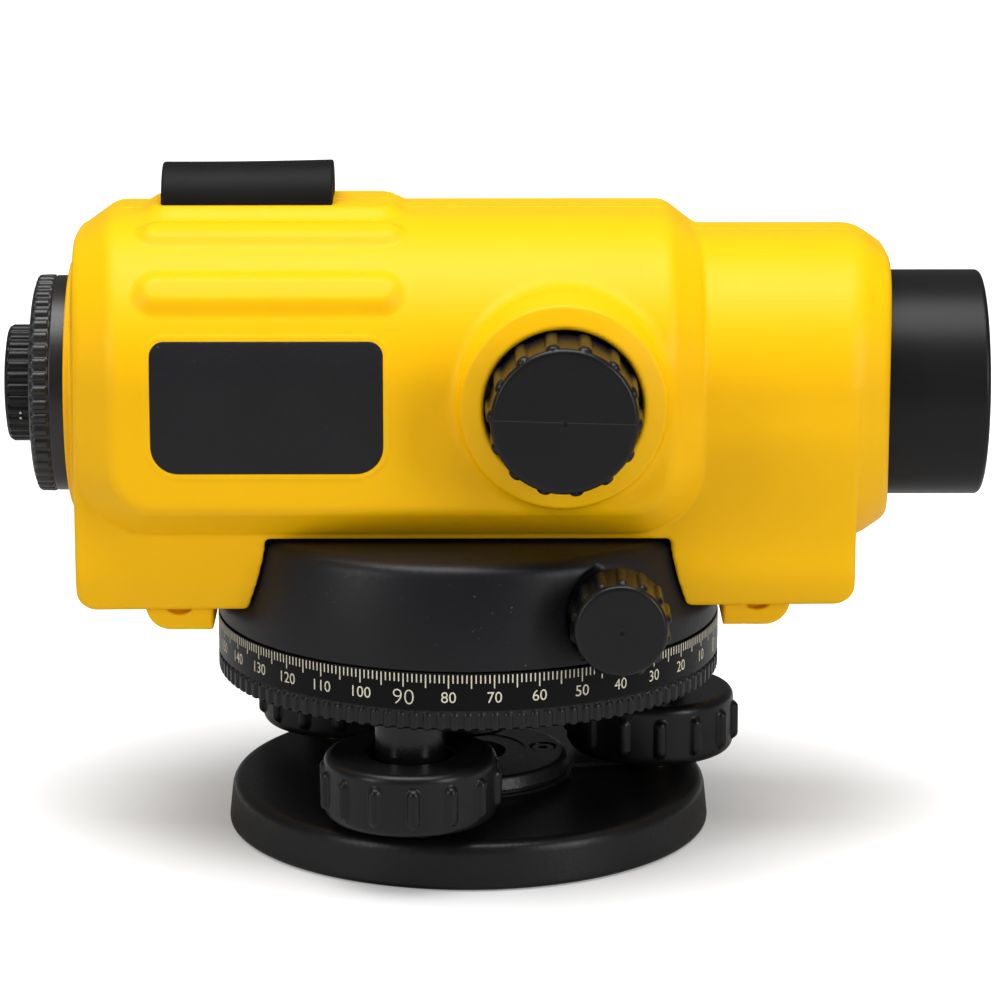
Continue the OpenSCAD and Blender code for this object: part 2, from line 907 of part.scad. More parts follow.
module pendulum_frame() {
    color([0.8, 0.66, 0.3])
        difference() {
            block([-57, -7, optical_level - 14.4], [-47, 7, optical_level + 2]);
            block([-56, -5.6, optical_level - 5], [-48, 5.6, optical_level + 3]);
            bar_x(-60, -40, 4.6, 0, optical_level);
        }
}

module pendulum_prism() {
    color([0.75, 0.85, 0.85, 0.4])
        stretch_y(-5.5, 5.5)
            polygon([[-55.9, optical_level - 4.9], [-48.1, optical_level - 4.9], [-52, optical_level - 1]]);
}

module roof_prism() {
    color([0.75, 0.85, 0.85, 0.4])
        stretch_y(-6, 6)
            polygon([[-60, optical_level + 5], [-44, optical_level + 5], [-52, optical_level + 13.4]]);
}

// four crossed tapes that carry the pendulum
module suspension_wires() {
    color([0.85, 0.85, 0.86])
        for (s = [-1, 1], t = [-1, 1])
            translate([-52 + s * 3, t * 7.3, optical_level + 2.4])
                rotate([0, s * -14, 0])
                    cylinder(h = 13.9, r = 0.12, $fn = 16);
}

// ---- reticle and eyepiece ------------------------------------------------------------------

module reticle_cell() {
    color([0.15, 0.15, 0.16])
        difference() {
            bar_x(-76, -70, 15);
            bar_x(-80, -60, 8);
            bar_x(-74, -60, 9.6);
        }
    for (i = [0:3])
        translate([-73, 0, optical_level])
            rotate([i * 90, 0, 0])
                translate([0, 0, 14.9])
                    cylinder(h = 6, r = 1.3);
}

module reticle_glass() {
    color([0.8, 0.88, 0.9, 0.4])
        bar_x(-74, -72, 9.6);
}

module reticle_cover() {
    color([0.05, 0.05, 0.055])
        translate([0, 0, optical_level])
            rotate([0, -90, 0]) {
                rotate_extrude()
                    polygon([[12.6, 84.6], [cover_radius - 3.2, 84.6], [cover_radius - 3.2, 81.8],
                             [cover_radius - 0.4, 81.8], [cover_radius, 82.2], [cover_radius - 0.1, 85],
                             [cover_radius - 0.5, 85.3], [cover_radius - 0.7, 88], [cover_radius - 1.4, 88.8],
                             [cover_radius - 2.4, 89.2], [14, 89.2], [12.6, 88.8]]);
                grips(48, cover_radius - 0.7, 3, 0.5, 86.9);
            }
}

module eyepiece_barrel() {
    color([0.1, 0.1, 0.105])
        difference() {
            bar_x(-92.6, -77.4, 9.8);
            bar_x(-100, -70, 7.4);
            bar_x(-91, -80, 8.4);
        }
}

module eyepiece_lenses() {
    color([0.7, 0.8, 0.9, 0.4]) {
        translate([0, 0, optical_level])
            rotate([0, -90, 0]) {
                rotate_extrude()
                    polygon([[0, 89], [8.4, 89.8], [8.4, 90.6], [0, 91]]);
                rotate_extrude()
                    polygon([[0, 80.6], [8.4, 81.4], [8.4, 82.6], [0, 83.8]]);
            }
    }
}

module diopter_ring() {
    color([0.05, 0.05, 0.055])
        translate([0, 0, optical_level])
            rotate([0, -90, 0]) {
                rotate_extrude()
                    polygon([[9.8 + running, 86], [12.3, 86], [12.3, 89.5], [diopter_radius - 0.5, 89.6],
                             [diopter_radius - 0.3, -eyepiece_back - 0.7], [diopter_radius - 1, -eyepiece_back],
                             [8.6, -eyepiece_back], [7, -eyepiece_back - 1], [7, -eyepiece_back - 1.2],
                             [9.8 + running, -eyepiece_back - 1.2]]);
                grips(36, diopter_radius - 0.4, 4.6, 0.42, 92.4);
            }
}

// ---- sight, vial and mirror ----------------------------------------------------------------

module sight_body() {
    color([0.05, 0.05, 0.055])
        stretch_x(-62.5, -27.4)
            difference() {
                translate([0, 131.6])
                    circle(r = 8.8);
                translate([0, 136.9])
                    circle(r = 2);
                translate([-12, 120])
                    square([24, 12.68]);
                translate([-4.4, 130])
                    square([8.8, 3.6]);
            }
}

module vial_housing() {
    color([0.05, 0.05, 0.055])
        difference() {
            union() {
                translate([vial_x, vial_y, vial_level - 9])
                    cylinder(h = 10, r = 10.4);
                block([vial_x - 8, 34.5, vial_level - 12], [vial_x + 8, vial_y, vial_level - 6]);
                for (s = [-1, 1])
                    block([mirror_pivot_x - 2.6, vial_y + s * 6 - 1.5, vial_level - 5],
                          [mirror_pivot_x + 1.6, vial_y + s * 6 + 1.5, mirror_pivot_z + 1.8]);
            }
            translate([vial_x, vial_y, vial_level - 6])
                cylinder(h = 8, r = 8.5);
            bar_y(vial_y - 9, vial_y + 9, 1 + running, mirror_pivot_x, mirror_pivot_z);
            block([-70, 20, 80], [-20, 34.5, 120]);
        }
}

module vial_glass() {
    color([0.6, 0.9, 0.3, 0.4])
        translate([vial_x, vial_y, vial_level - 6])
            cylinder(h = 7, r = 8.5);
}

module mirror_arm() {
    color([0.06, 0.06, 0.065])
        translate([mirror_pivot_x, vial_y, mirror_pivot_z])
            rotate([0, 50, 0])
                difference() {
                    union() {
                        bar_y(-7.5, 7.5, 1, 0, 0);
                        bar_y(-4.3, 4.3, 1.7, 0, 0);
                        block([-3, -4.2, 0], [0, 4.2, 1.6]);
                        translate([-12.5, 0, 0])
                            cylinder(h = 1.6, r = 10);
                    }
                    translate([-12.5, 0, -1])
                        cylinder(h = 1.6, r = 8.6);
                }
}

module mirror_glass() {
    color([0.85, 0.87, 0.9])
        translate([mirror_pivot_x, vial_y, mirror_pivot_z])
            rotate([0, 50, 0])
                translate([-12.5, 0, -0.1])
                    cylinder(h = 0.7, r = 8.6);
}

// ---- every node ----------------------------------------------------------------------------

base_plate();
tripod_insert();
foot_ball_1();
foot_ball_2();
foot_ball_3();
spring_plate();
hub_cover();
plate_screws();
foot_pad_1();
foot_pad_2();
foot_pad_3();
foot_stem_1();
foot_stem_2();
foot_stem_3();
foot_knob_1();
foot_knob_2();
foot_knob_3();
tribrach_body();
axis_bush();
horizontal_circle();
worm_wheel();
clutch_spring();
clutch_nut();
spindle();
spindle_nut();
base_housing();
housing_floor();
worm();
tangent_knob_right();
tangent_knob_left();
telescope_body();
casing_right();
casing_left();
casing_screws();
name_plate();
objective_hood();
objective_crown();
objective_flint();
objective_ring();
focus_cell();
focus_lens();
focus_rack();
focus_pinion();
focus_knob();
compensator_frame();
pendulum_frame();
pendulum_prism();
roof_prism();
suspension_wires();
reticle_cell();
reticle_glass();
reticle_cover();
eyepiece_barrel();
eyepiece_lenses();
diopter_ring();
sight_body();
vial_housing();
vial_glass();
mirror_arm();
mirror_glass();
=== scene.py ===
"""Visual model of an automatic level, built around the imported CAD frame.

Lengths in the code are millimetres, with Z up and X along the telescope; meshes are in metres.
The curved castings are distance fields turned into quad meshes, and the turned pieces are lathed profiles."""
import bpy
import math
import numpy as np
from mathutils import Matrix, Vector


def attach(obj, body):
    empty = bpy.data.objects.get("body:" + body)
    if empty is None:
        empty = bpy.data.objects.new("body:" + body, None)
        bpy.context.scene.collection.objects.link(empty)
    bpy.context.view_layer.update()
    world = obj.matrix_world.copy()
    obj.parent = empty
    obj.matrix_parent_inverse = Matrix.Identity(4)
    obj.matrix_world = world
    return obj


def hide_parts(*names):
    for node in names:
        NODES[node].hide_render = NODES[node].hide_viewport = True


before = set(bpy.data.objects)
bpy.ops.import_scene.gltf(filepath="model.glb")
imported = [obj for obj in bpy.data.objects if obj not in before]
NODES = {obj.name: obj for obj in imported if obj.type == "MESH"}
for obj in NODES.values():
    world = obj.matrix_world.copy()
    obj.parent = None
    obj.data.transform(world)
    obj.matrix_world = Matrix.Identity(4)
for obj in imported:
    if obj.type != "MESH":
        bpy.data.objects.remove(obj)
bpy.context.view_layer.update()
MM = 0.001
AXIS_Z = 94.0          # optical axis
FOOT_R = 40.0          # foot screws' circle
FOOT_ANGLES = [-107.0, 13.0, 133.0]
FOOT_TURNS = [(math.cos(math.radians(a)), math.sin(math.radians(a))) for a in FOOT_ANGLES]
HUB_SCREW_R = 16       # circle of the three screws in the hub
HUB_SCREW_TURN = 5     # how far each is turned back from its foot screw, in degrees
FOCUS_X, FOCUS_Z = 19.0, 97.75         # focusing knob's axis
TANGENT_X, TANGENT_Z = 30.2, 56.2      # slow-motion knobs' axis

# ---------------------------------------------------------------- materials


def node_material(name):
    """A new material, with its node tree and its main shader."""
    mat = bpy.data.materials.new(name)
    mat.use_nodes = True
    nt = mat.node_tree
    bsdf = nt.nodes["Principled BSDF"]
    return mat, nt, bsdf


def noise_node(nt, scale, detail=3.0, rough=0.5):
    """A noise texture in object coordinates."""
    tc = nt.nodes.new("ShaderNodeTexCoord")
    n = nt.nodes.new("ShaderNodeTexNoise")
    n.inputs["Scale"].default_value = scale
    n.inputs["Detail"].default_value = detail
    n.inputs["Roughness"].default_value = rough
    nt.links.new(tc.outputs["Object"], n.inputs["Vector"])
    return n


def ramp(nt, src, lo, hi, a, b):
    """The value src, taken from the range lo to hi into the range a to b."""
    m = nt.nodes.new("ShaderNodeMapRange")
    m.inputs["From Min"].default_value = lo
    m.inputs["From Max"].default_value = hi
    m.inputs["To Min"].default_value = a
    m.inputs["To Max"].default_value = b
    nt.links.new(src, m.inputs["Value"])
    return m.outputs["Result"]


def moulded(name, color, rough, grain=1600.0, grain_depth=0.06, mottle=0.04, dust=0.0,
            metallic=0.0, specular=0.5, wide=60.0):
    """Moulded or painted surface: fine grain in bump and roughness, faint tone change, dust if asked for."""
    mat, nt, bsdf = node_material(name)
    bsdf.inputs["Metallic"].default_value = metallic
    bsdf.inputs["Specular IOR Level"].default_value = specular
    fine = noise_node(nt, grain, 2.0)
    broad = noise_node(nt, wide, 3.0)
    mix = nt.nodes.new("ShaderNodeMix")
    mix.data_type = "RGBA"
    mix.inputs["A"].default_value = (*[max(0.0, c * (1 - mottle)) for c in color], 1)
    mix.inputs["B"].default_value = (*[min(1.0, c * (1 + mottle)) for c in color], 1)
    nt.links.new(ramp(nt, broad.outputs["Fac"], 0.3, 0.7, 0, 1), mix.inputs["Factor"])
    out = mix.outputs["Result"]
    rough_src = ramp(nt, fine.outputs["Fac"], 0.2, 0.8, rough - 0.05, rough + 0.06)
    if dust > 0:
        specks = noise_node(nt, 900.0, 2.0, 0.7)
        patch = noise_node(nt, 25.0, 2.0)
        a = ramp(nt, specks.outputs["Fac"], 0.70, 0.76, 0, 1)
        b = ramp(nt, patch.outputs["Fac"], 0.45, 0.7, 0, dust)
        mul = nt.nodes.new("ShaderNodeMath")
        mul.operation = "MULTIPLY"
        mul.use_clamp = True
        nt.links.new(a, mul.inputs[0])
        nt.links.new(b, mul.inputs[1])
        mix2 = nt.nodes.new("ShaderNodeMix")
        mix2.data_type = "RGBA"
        mix2.inputs["B"].default_value = (0.32, 0.3, 0.27, 1)
        nt.links.new(mul.outputs[0], mix2.inputs["Factor"])
        nt.links.new(out, mix2.inputs["A"])
        out = mix2.outputs["Result"]
    nt.links.new(out, bsdf.inputs["Base Color"])
    nt.links.new(rough_src, bsdf.inputs["Roughness"])
    bump = nt.nodes.new("ShaderNodeBump")
    bump.inputs["Strength"].default_value = grain_depth
    bump.inputs["Distance"].default_value = 0.0003
    nt.links.new(fine.outputs["Fac"], bump.inputs["Height"])
    nt.links.new(bump.outputs["Normal"], bsdf.inputs["Normal"])
    return mat


def turned_metal(name, color, rough, axis="Z", scale=3000.0):
    """Machined metal: rings left by the tool, stretched noise in roughness and bump."""
    mat, nt, bsdf = node_material(name)
    bsdf.inputs["Base Color"].default_value = (*color, 1)
    bsdf.inputs["Metallic"].default_value = 1.0
    tc = nt.nodes.new("ShaderNodeTexCoord")
    mp = nt.nodes.new("ShaderNodeMapping")
    across = 0.02          # scale of the noise square to the turning axis, so that it draws out into rings
    mp.inputs["Scale"].default_value = tuple(1 if axis == k else across for k in "XYZ")
    n = nt.nodes.new("ShaderNodeTexNoise")
    n.inputs["Scale"].default_value = scale
    n.inputs["Detail"].default_value = 2.0
    nt.links.new(tc.outputs["Object"], mp.inputs["Vector"])
    nt.links.new(mp.outputs["Vector"], n.inputs["Vector"])
    nt.links.new(ramp(nt, n.outputs["Fac"], 0.3, 0.7, rough * 0.8, rough * 1.25), bsdf.inputs["Roughness"])
    bump = nt.nodes.new("ShaderNodeBump")
    bump.inputs["Strength"].default_value = 0.08
    bump.inputs["Distance"].default_value = 0.0002
    nt.links.new(n.outputs["Fac"], bump.inputs["Height"])
    nt.links.new(bump.outputs["Normal"], bsdf.inputs["Normal"])
    return mat


def optical(name, color, ior=1.52, rough=0.0, film=300.0):
    """Glass with a faint coating tint that follows the viewing angle."""
    mat, nt, bsdf = node_material(name)
    lw = nt.nodes.new("ShaderNodeLayerWeight")
    lw.inputs["Blend"].default_value = 0.3
    mix = nt.nodes.new("ShaderNodeMix")
    mix.data_type = "RGBA"
    mix.inputs["A"].default_value = (*color, 1)
    mix.inputs["B"].default_value = (color[0] * 0.85, color[1] * 0.8, color[2], 1)
    nt.links.new(lw.outputs["Facing"], mix.inputs["Factor"])
    nt.links.new(mix.outputs["Result"], bsdf.inputs["Base Color"])
    bsdf.inputs["Roughness"].default_value = rough
    bsdf.inputs["IOR"].default_value = ior
    bsdf.inputs["Transmission Weight"].default_value = 1.0
    bsdf.inputs["Thin Film Thickness"].default_value = film
    bsdf.inputs["Thin Film IOR"].default_value = 1.38
    n = noise_node(nt, 40.0, 2.0)
    nt.links.new(ramp(nt, n.outputs["Fac"], 0.3, 0.7, rough, rough + 0.01), bsdf.inputs["Roughness"])
    return mat


YELLOW = moulded("yellow_plastic", (0.92, 0.492, 0.0), 0.44,
                 grain=2200, grain_depth=0.05, mottle=0.012, specular=0.17)
KNOB_BLACK = (0.0062, 0.0062, 0.007)
KNOB_LOOK = {"rough": 0.32, "grain": 1800, "grain_depth": 0.06, "mottle": 0.12, "dust": 0.06,
             "specular": 0.25}
BLACK = moulded("black_plastic", KNOB_BLACK, **KNOB_LOOK)
HOUSING = moulded("housing_plastic", (0.0065, 0.0065, 0.008), 0.4,
                  grain=1500, grain_depth=0.07, mottle=0.1, dust=0.4, specular=0.24)
PAINT = moulded("black_paint", (0.0052, 0.0052, 0.0056), 0.36,
                grain=1300, grain_depth=0.14, mottle=0.1, dust=0.2, wide=90, specular=0.26)
CIRCLE = moulded("circle_plastic", (0.003, 0.003, 0.0035), 0.3,
                 grain=1800, grain_depth=0.05, mottle=0.1, specular=0.1)
# The circle's own plastic, twice as pale and glossier, for the grip band's teeth: painted light standing in
# for the highlights the teeth catch.
LIT_TEETH = moulded("circle_plastic_painted_lit", (0.006, 0.006, 0.0065), 0.34,
                grain=1800, grain_depth=0.05, mottle=0.1, specular=0.28)
GLOSS = moulded("tribrach_paint", (0.0042, 0.0042, 0.0046), 0.2,
                grain=1300, grain_depth=0.1, mottle=0.1, specular=0.35)
LABEL = moulded("label_plate", (0.011, 0.011, 0.0125), 0.45,
                grain=1500, grain_depth=0.35, mottle=0.1, dust=0.2, specular=0.22)
ANODISED = moulded("black_anodised", (0.0065, 0.0065, 0.0075), 0.38,
                   grain=2600, grain_depth=0.04, mottle=0.08, specular=0.2)
COVER = moulded("cover_ring_plastic", (0.009, 0.009, 0.0095), 0.36,
                grain=1800, grain_depth=0.06, mottle=0.12, specular=0.5)
SIGHT = moulded("sight_plastic", (0.007, 0.007, 0.0072), 0.5,
                grain=1800, grain_depth=0.08, mottle=0.1, specular=0.09)
INK = moulded("cream_ink", (0.66, 0.62, 0.48), 0.55, grain=3000, grain_depth=0.1, mottle=0.05)
CAST = moulded("cast_aluminium", (0.33, 0.34, 0.36), 0.5,
               grain=900, grain_depth=0.3, metallic=0.8, mottle=0.08)
STEEL = turned_metal("turned_steel", (0.62, 0.62, 0.63), 0.26)
STEEL_Y = turned_metal("turned_steel_y", (0.62, 0.62, 0.63), 0.26, "Y")
DARK_STEEL = turned_metal("black_oxide_steel", (0.06, 0.06, 0.065), 0.38)
BRASS = turned_metal("machined_brass", (0.74, 0.56, 0.25), 0.28)
BRASS_X = turned_metal("machined_brass_x", (0.74, 0.56, 0.25), 0.28, "X")
GLASS = optical("lens_glass", (0.93, 0.97, 0.95), film=420.0)
PRISM = optical("prism_glass", (0.95, 0.97, 0.98))
VIAL = optical("vial_liquid", (0.72, 0.95, 0.25), ior=1.4)
BUBBLE = optical("vial_bubble", (0.98, 1.0, 0.9), ior=1.05)
MIRROR = turned_metal("mirror_silver", (0.92, 0.93, 0.94), 0.03)


def weld_line(mat, x0, z0, slope, y_face):
    """A hair-thin paler line across a knob's face, through its middle."""
    nt = mat.node_tree
    base = nt.nodes["Principled BSDF"].inputs["Base Color"]
    below = base.links[0].from_socket
    place = nt.nodes.new("ShaderNodeTexCoord")
    tilt = nt.nodes.new("ShaderNodeVectorMath")
    tilt.operation = "DOT_PRODUCT"
    tilt.inputs[1].default_value = (-slope, 0, 1)
    split = nt.nodes.new("ShaderNodeSeparateXYZ")
    off = nt.nodes.new("ShaderNodeMath")
    off.operation = "SUBTRACT"
    off.inputs[1].default_value = (z0 - slope * x0) * MM
    size = nt.nodes.new("ShaderNodeMath")
    size.operation = "ABSOLUTE"
    both = nt.nodes.new("ShaderNodeMath")
    both.operation = "MULTIPLY"
    mix = nt.nodes.new("ShaderNodeMix")
    mix.data_type = "RGBA"
    mix.inputs["B"].default_value = (0.03, 0.03, 0.03, 1)
    nt.links.new(place.outputs["Object"], tilt.inputs[0])
    nt.links.new(place.outputs["Object"], split.inputs[0])
    nt.links.new(tilt.outputs["Value"], off.inputs[0])
    nt.links.new(off.outputs[0], size.inputs[0])
    nt.links.new(ramp(nt, size.outputs[0], 0.00004, 0.00012, 1, 0), both.inputs[0])
    deep, near = (0.15 - y_face) * MM, (0.05 - y_face) * MM
    nt.links.new(ramp(nt, split.outputs["Y"], deep, near, 0, 1), both.inputs[1])
    nt.links.new(both.outputs[0], mix.inputs["Factor"])
    nt.links.new(below, mix.inputs["A"])
    nt.links.new(mix.outputs["Result"], base)


# ---------------------------------------------------------------- mesh helpers


def make_object(name, verts, faces, body, mat, node=None, normals=None, smooth=True):
    """A mesh piece from millimetre points, riding on a body."""
    me = bpy.data.meshes.new(name)
    v = np.asarray(verts, np.float64) * MM
    me.vertices.add(len(v))
    me.vertices.foreach_set("co", v.astype(np.float32).ravel())
    if isinstance(faces, np.ndarray):
        n, k = faces.shape
        me.loops.add(n * k)
        me.loops.foreach_set("vertex_index", faces.astype(np.int32).ravel())
        me.polygons.add(n)
        me.polygons.foreach_set("loop_start", np.arange(0, n * k, k, dtype=np.int32))
    else:
        sizes = np.array([len(f) for f in faces], np.int32)
        me.loops.add(int(sizes.sum()))
        me.loops.foreach_set("vertex_index", np.concatenate([np.asarray(f) for f in faces]).astype(np.int32))
        me.polygons.add(len(faces))
        me.polygons.foreach_set("loop_start", (np.cumsum(sizes) - sizes).astype(np.int32))
    me.update(calc_edges=True)
    me.validate()
    me.polygons.foreach_set("use_smooth", np.full(len(me.polygons), smooth, bool))
    me.update()
    if normals is not None and len(normals) == len(me.vertices):
        me.normals_split_custom_set_from_vertices([tuple(x) for x in normals])
    ob = bpy.data.objects.new(name, me)
    bpy.context.scene.collection.objects.link(ob)
    me.materials.append(mat)
    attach(ob, body)
    if node:
        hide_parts(*([node] if isinstance(node, str) else node))
    return ob


def arc(cx, cy, r, a0, a1, n=8):
    """Points on a circle's arc from angle a0 to a1, in degrees."""
    t = np.radians(np.linspace(a0, a1, n + 1))
    return [(cx + r * math.cos(a), cy + r * math.sin(a)) for a in t]


def refine(profile, step):
    """Adds points so that no stretch of the profile is longer than step."""
    out = [profile[0]]
    for a, b in zip(profile[:-1], profile[1:]):
        n = max(1, int(math.ceil(math.dist(a, b) / step)))
        for i in range(1, n + 1):
            out.append((a[0] + (b[0] - a[0]) * i / n, a[1] + (b[1] - a[1]) * i / n))
    return out


def lathe(profile, n, bump=None, closed=True):
    """Turns an (r, h) profile about Z. bump(theta, r, h) gives a push along the profile's normal.
    A closed profile loops; ends at r = 0 become one point."""
    p = np.array(profile, float)
    th = np.arange(n) * 2 * np.pi / n
    m = len(p)
    nxt = np.roll(p, -1, 0) if closed else np.vstack([p[1:], 2 * p[-1] - p[-2]])
    prv = np.roll(p, 1, 0) if closed else np.vstack([2 * p[0] - p[1], p[:-1]])
    t = nxt - prv
    t /= np.maximum(np.linalg.norm(t, axis=1, keepdims=True), 1e-9)
    nr, nh = t[:, 1], -t[:, 0]
    R, T = np.meshgrid(p[:, 0], th, indexing="ij")
    H = np.repeat(p[:, 1][:, None], n, 1)
    if bump is not None:
        d = bump(T, R, H)
        d = np.where(R < 1e-6, 0, d)
        R2, H2 = R + d * nr[:, None], H + d * nh[:, None]
    else:
        R2, H2 = R, H
    verts = np.stack([R2 * np.cos(T), R2 * np.sin(T), H2], -1).reshape(-1, 3)
    rows = m if closed else m - 1
    i = np.arange(rows)[:, None]
    j = np.arange(n)[None, :]
    i2, j2 = (i + 1) % m, (j + 1) % n
    faces = np.stack([i * n + j, i * n + j2, i2 * n + j2, i2 * n + j], -1).reshape(-1, 4)
    return weld_poles(verts, faces, p, n)


def weld_poles(verts, faces, p, n):
    """Rows at r = 0 are merged to one vertex, and faces that lose an edge become triangles."""
    poles = [i for i in range(len(p)) if p[i, 0] < 1e-6]
    if not poles:
        return verts, faces
    remap = np.arange(len(verts))
    for i in poles:
        remap[i * n:(i + 1) * n] = i * n
    f = remap[faces]
    out = []
    for q in f:
        u = []
        for a in q:
            if a not in u:
                u.append(int(a))
        if len(u) >= 3:
            out.append(u)
    used = sorted(set(a for q in out for a in q))
    idx = {a: k for k, a in enumerate(used)}
    return verts[used], [[idx[a] for a in q] for q in out]


def placed(verts, matrix):
    """The points moved by a 4 by 4 matrix."""
    v = np.asarray(verts, float)
    m = np.array(matrix, float)
    return v @ m[:3, :3].T + m[:3, 3]


def to_minus_y(x, z):
    """Local Z becomes -Y, local X stays X."""
    return Matrix.Translation((x, 0, z)) @ Matrix.Rotation(math.pi / 2, 4, "X")


def to_plus_y(x, z):
    """Local Z becomes +Y, local X stays X."""
    return Matrix.Translation((x, 0, z)) @ Matrix.Rotation(-math.pi / 2, 4, "X")


def to_plus_x(z=AXIS_Z):
    """Local Z becomes +X, on the optical axis unless told otherwise."""
    return Matrix.Translation((0, 0, z)) @ Matrix.Rotation(math.pi / 2, 4, "Y")


def to_minus_x(z=AXIS_Z):
    """Local Z becomes -X, on the optical axis unless told otherwise."""
    return Matrix.Translation((0, 0, z)) @ Matrix.Rotation(-math.pi / 2, 4, "Y")


def grip_bumps(count, r0, h_mid, half_len, half_w, height, phase=0.0, rim=1.0):
    """Raised ovals around a knob's side: returns a push for lathe()."""
    def push(T, R, H):
        a = (T - phase) * count / (2 * np.pi)
        a = (a - np.round(a)) * 2 * np.pi / count * r0
        dh = np.maximum(np.abs(H - h_mid) - (half_len - half_w), 0)
        q = np.hypot(a, dh) / half_w
        side = np.clip((R - (r0 - rim)) / (0.8 * rim), 0, 1)
        return height * np.sqrt(np.clip(1 - q * q, 0, 1)) * side
    return push


# ---------------------------------------------------------------- distance-field modelling


def smax(a, b, k):
    """Rounded maximum: the cut of two distance fields, with an edge of about radius k."""
    h = np.clip(0.5 + 0.5 * (a - b) / k, 0, 1)
    return b * (1 - h) + a * h + k * h * (1 - h)


def smin(a, b, k):
    """Rounded minimum: the union of two distance fields, with a fillet of about radius k."""
    return -smax(-a, -b, k)


def sstep(a, b, x):
    """Smooth step from 0 at a to 1 at b."""
    t = np.clip((x - a) / (b - a), 0, 1)
    return t * t * (3 - 2 * t)


def rbox2(u, v, hu, hv, r):
    """Distance to a rectangle with half sizes hu and hv and corner radius r."""
    qx, qy = np.abs(u) - hu + r, np.abs(v) - hv + r
    return np.minimum(np.maximum(qx, qy), 0) + np.hypot(np.maximum(qx, 0), np.maximum(qy, 0)) - r


def surface_nets(fn, lo, hi, step):
    """Quad mesh of fn = 0 over a box, its points then slid on to the surface."""
    ax = [np.arange(lo[i], hi[i] + step, step) for i in range(3)]
    X, Y, Z = np.meshgrid(*ax, indexing="ij")
    V = fn(X, Y, Z)
    s = V < 0
    nx, ny, nz = V.shape
    cell = np.zeros((nx - 1, ny - 1, nz - 1), np.int8)
    for dx in (0, 1):
        for dy in (0, 1):
            for dz in (0, 1):
                cell += s[dx:nx - 1 + dx, dy:ny - 1 + dy, dz:nz - 1 + dz]
    active = (cell > 0) & (cell < 8)
    ci = np.argwhere(active)
    index = np.full(active.shape, -1, np.int64)
    index[active] = np.arange(len(ci))
    acc = np.zeros((len(ci), 3))
    cnt = np.zeros(len(ci))
    corners = [(a, b, c) for a in (0, 1) for b in (0, 1) for c in (0, 1)]
    for c0 in corners:
        for axis in range(3):
            if c0[axis]:
                continue
            c1 = list(c0)
            c1[axis] = 1
            v0 = V[ci[:, 0] + c0[0], ci[:, 1] + c0[1], ci[:, 2] + c0[2]]
            v1 = V[ci[:, 0] + c1[0], ci[:, 1] + c1[1], ci[:, 2] + c1[2]]
            m = (v0 < 0) != (v1 < 0)
            t = np.where(m, v0 / np.where(m, v0 - v1, 1), 0)
            p = np.array(c0, float) + np.zeros((len(ci), 3))
            p[:, axis] += t
            acc[m] += p[m]
            cnt[m] += 1
    verts = (ci + acc / cnt[:, None]) * step + np.array(lo)
    quads = []
    for axis in range(3):
        o1, o2 = [a for a in range(3) if a != axis]
        sl0 = [slice(None)] * 3
        sl1 = [slice(None)] * 3
        sl0[axis], sl1[axis] = slice(0, -1), slice(1, None)
        for o in (o1, o2):
            sl0[o] = sl1[o] = slice(1, -1)
        a, b = s[tuple(sl0)], s[tuple(sl1)]
        e = np.argwhere(a != b)
        flip = a[a != b]
        e[:, o1] += 1
        e[:, o2] += 1
        def at(d1, d2):
            q = e.copy()
            q[:, o1] -= d1
            q[:, o2] -= d2
            return index[q[:, 0], q[:, 1], q[:, 2]]
        q = np.stack([at(1, 1), at(0, 1), at(0, 0), at(1, 0)], 1)
        turn = flip if axis != 1 else ~flip
        q[~turn] = q[~turn][:, ::-1]
        quads.append(q)
    quads = np.concatenate(quads)
    eps = step * 0.2
    for _ in range(4):
        d = fn(*verts.T)
        g = gradient(fn, verts, eps)
        gg = (g * g).sum(1)
        move = -g * (d / np.maximum(gg, 0.05))[:, None]
        length = np.linalg.norm(move, axis=1, keepdims=True)
        verts = verts + move * np.minimum(1, 0.35 * step / np.maximum(length, 1e-9))
    g = gradient(fn, verts, 0.12)
    nrm = g / np.maximum(np.linalg.norm(g, axis=1, keepdims=True), 1e-9)
    return verts, quads, nrm


def gradient(fn, p, e):
    """Slope of a distance field at the points p, from samples e to either side."""
    g = np.empty_like(p)
    for i in range(3):
        a, b = p.copy(), p.copy()
        a[:, i] += e
        b[:, i] -= e
        g[:, i] = (fn(*a.T) - fn(*b.T)) / (2 * e)
    return g


def grid_step(full_step):
    return full_step


def sdf_piece(name, fn, lo, hi, step, body, mat, node):
    """The surface where fn is 0 inside a box, as a mesh piece with the field's own normals."""
    verts, quads, normals = surface_nets(fn, lo, hi, step)
    return make_object(name, verts, quads, body, mat, node, normals)


# ---------------------------------------------------------------- casing

HALF = 38.8            # half-width of the main casing
CROWN = 130.85         # its top
CORNER = 31.0          # radius of its shoulders
LABEL_X, LABEL_Z, LABEL_W, LABEL_H = -39.95, 96.85, 23.25, 13.35     # middle and half sizes of the label
SKIRT_RISE = 0.65      # the lower edge climbs a little towards the objective
CASING_BACK = -81.5    # eyepiece end
NOSE_FRONT = 86.6      # objective end
NOSE_HALF = 33.6       # half-width of the nose
LUG_X = 58.75          # the lugs' screws, either side of the vertical axis
WALL = 2.5             # thickness of the casing


def side_half(z):
    """Half-width of the slimmer body behind the raised part: nose, skirt."""
    return NOSE_HALF - 3.5 * sstep(92, 64, z) - 2.2 * sstep(63, 50.5, z) ** 1.5


def housing_sdf(x, y, z):
    """Outside of the black housing: a low bell, wider at the bottom."""
    rho = np.hypot(x, y)
    side = smax(rho - 52.3, (rho - 52.3 + (z - 56) * 0.232) * 0.974, 2.5)
    return smax(smax(side, z - 67.3, 3.0), 46.15 - z, 0.3)


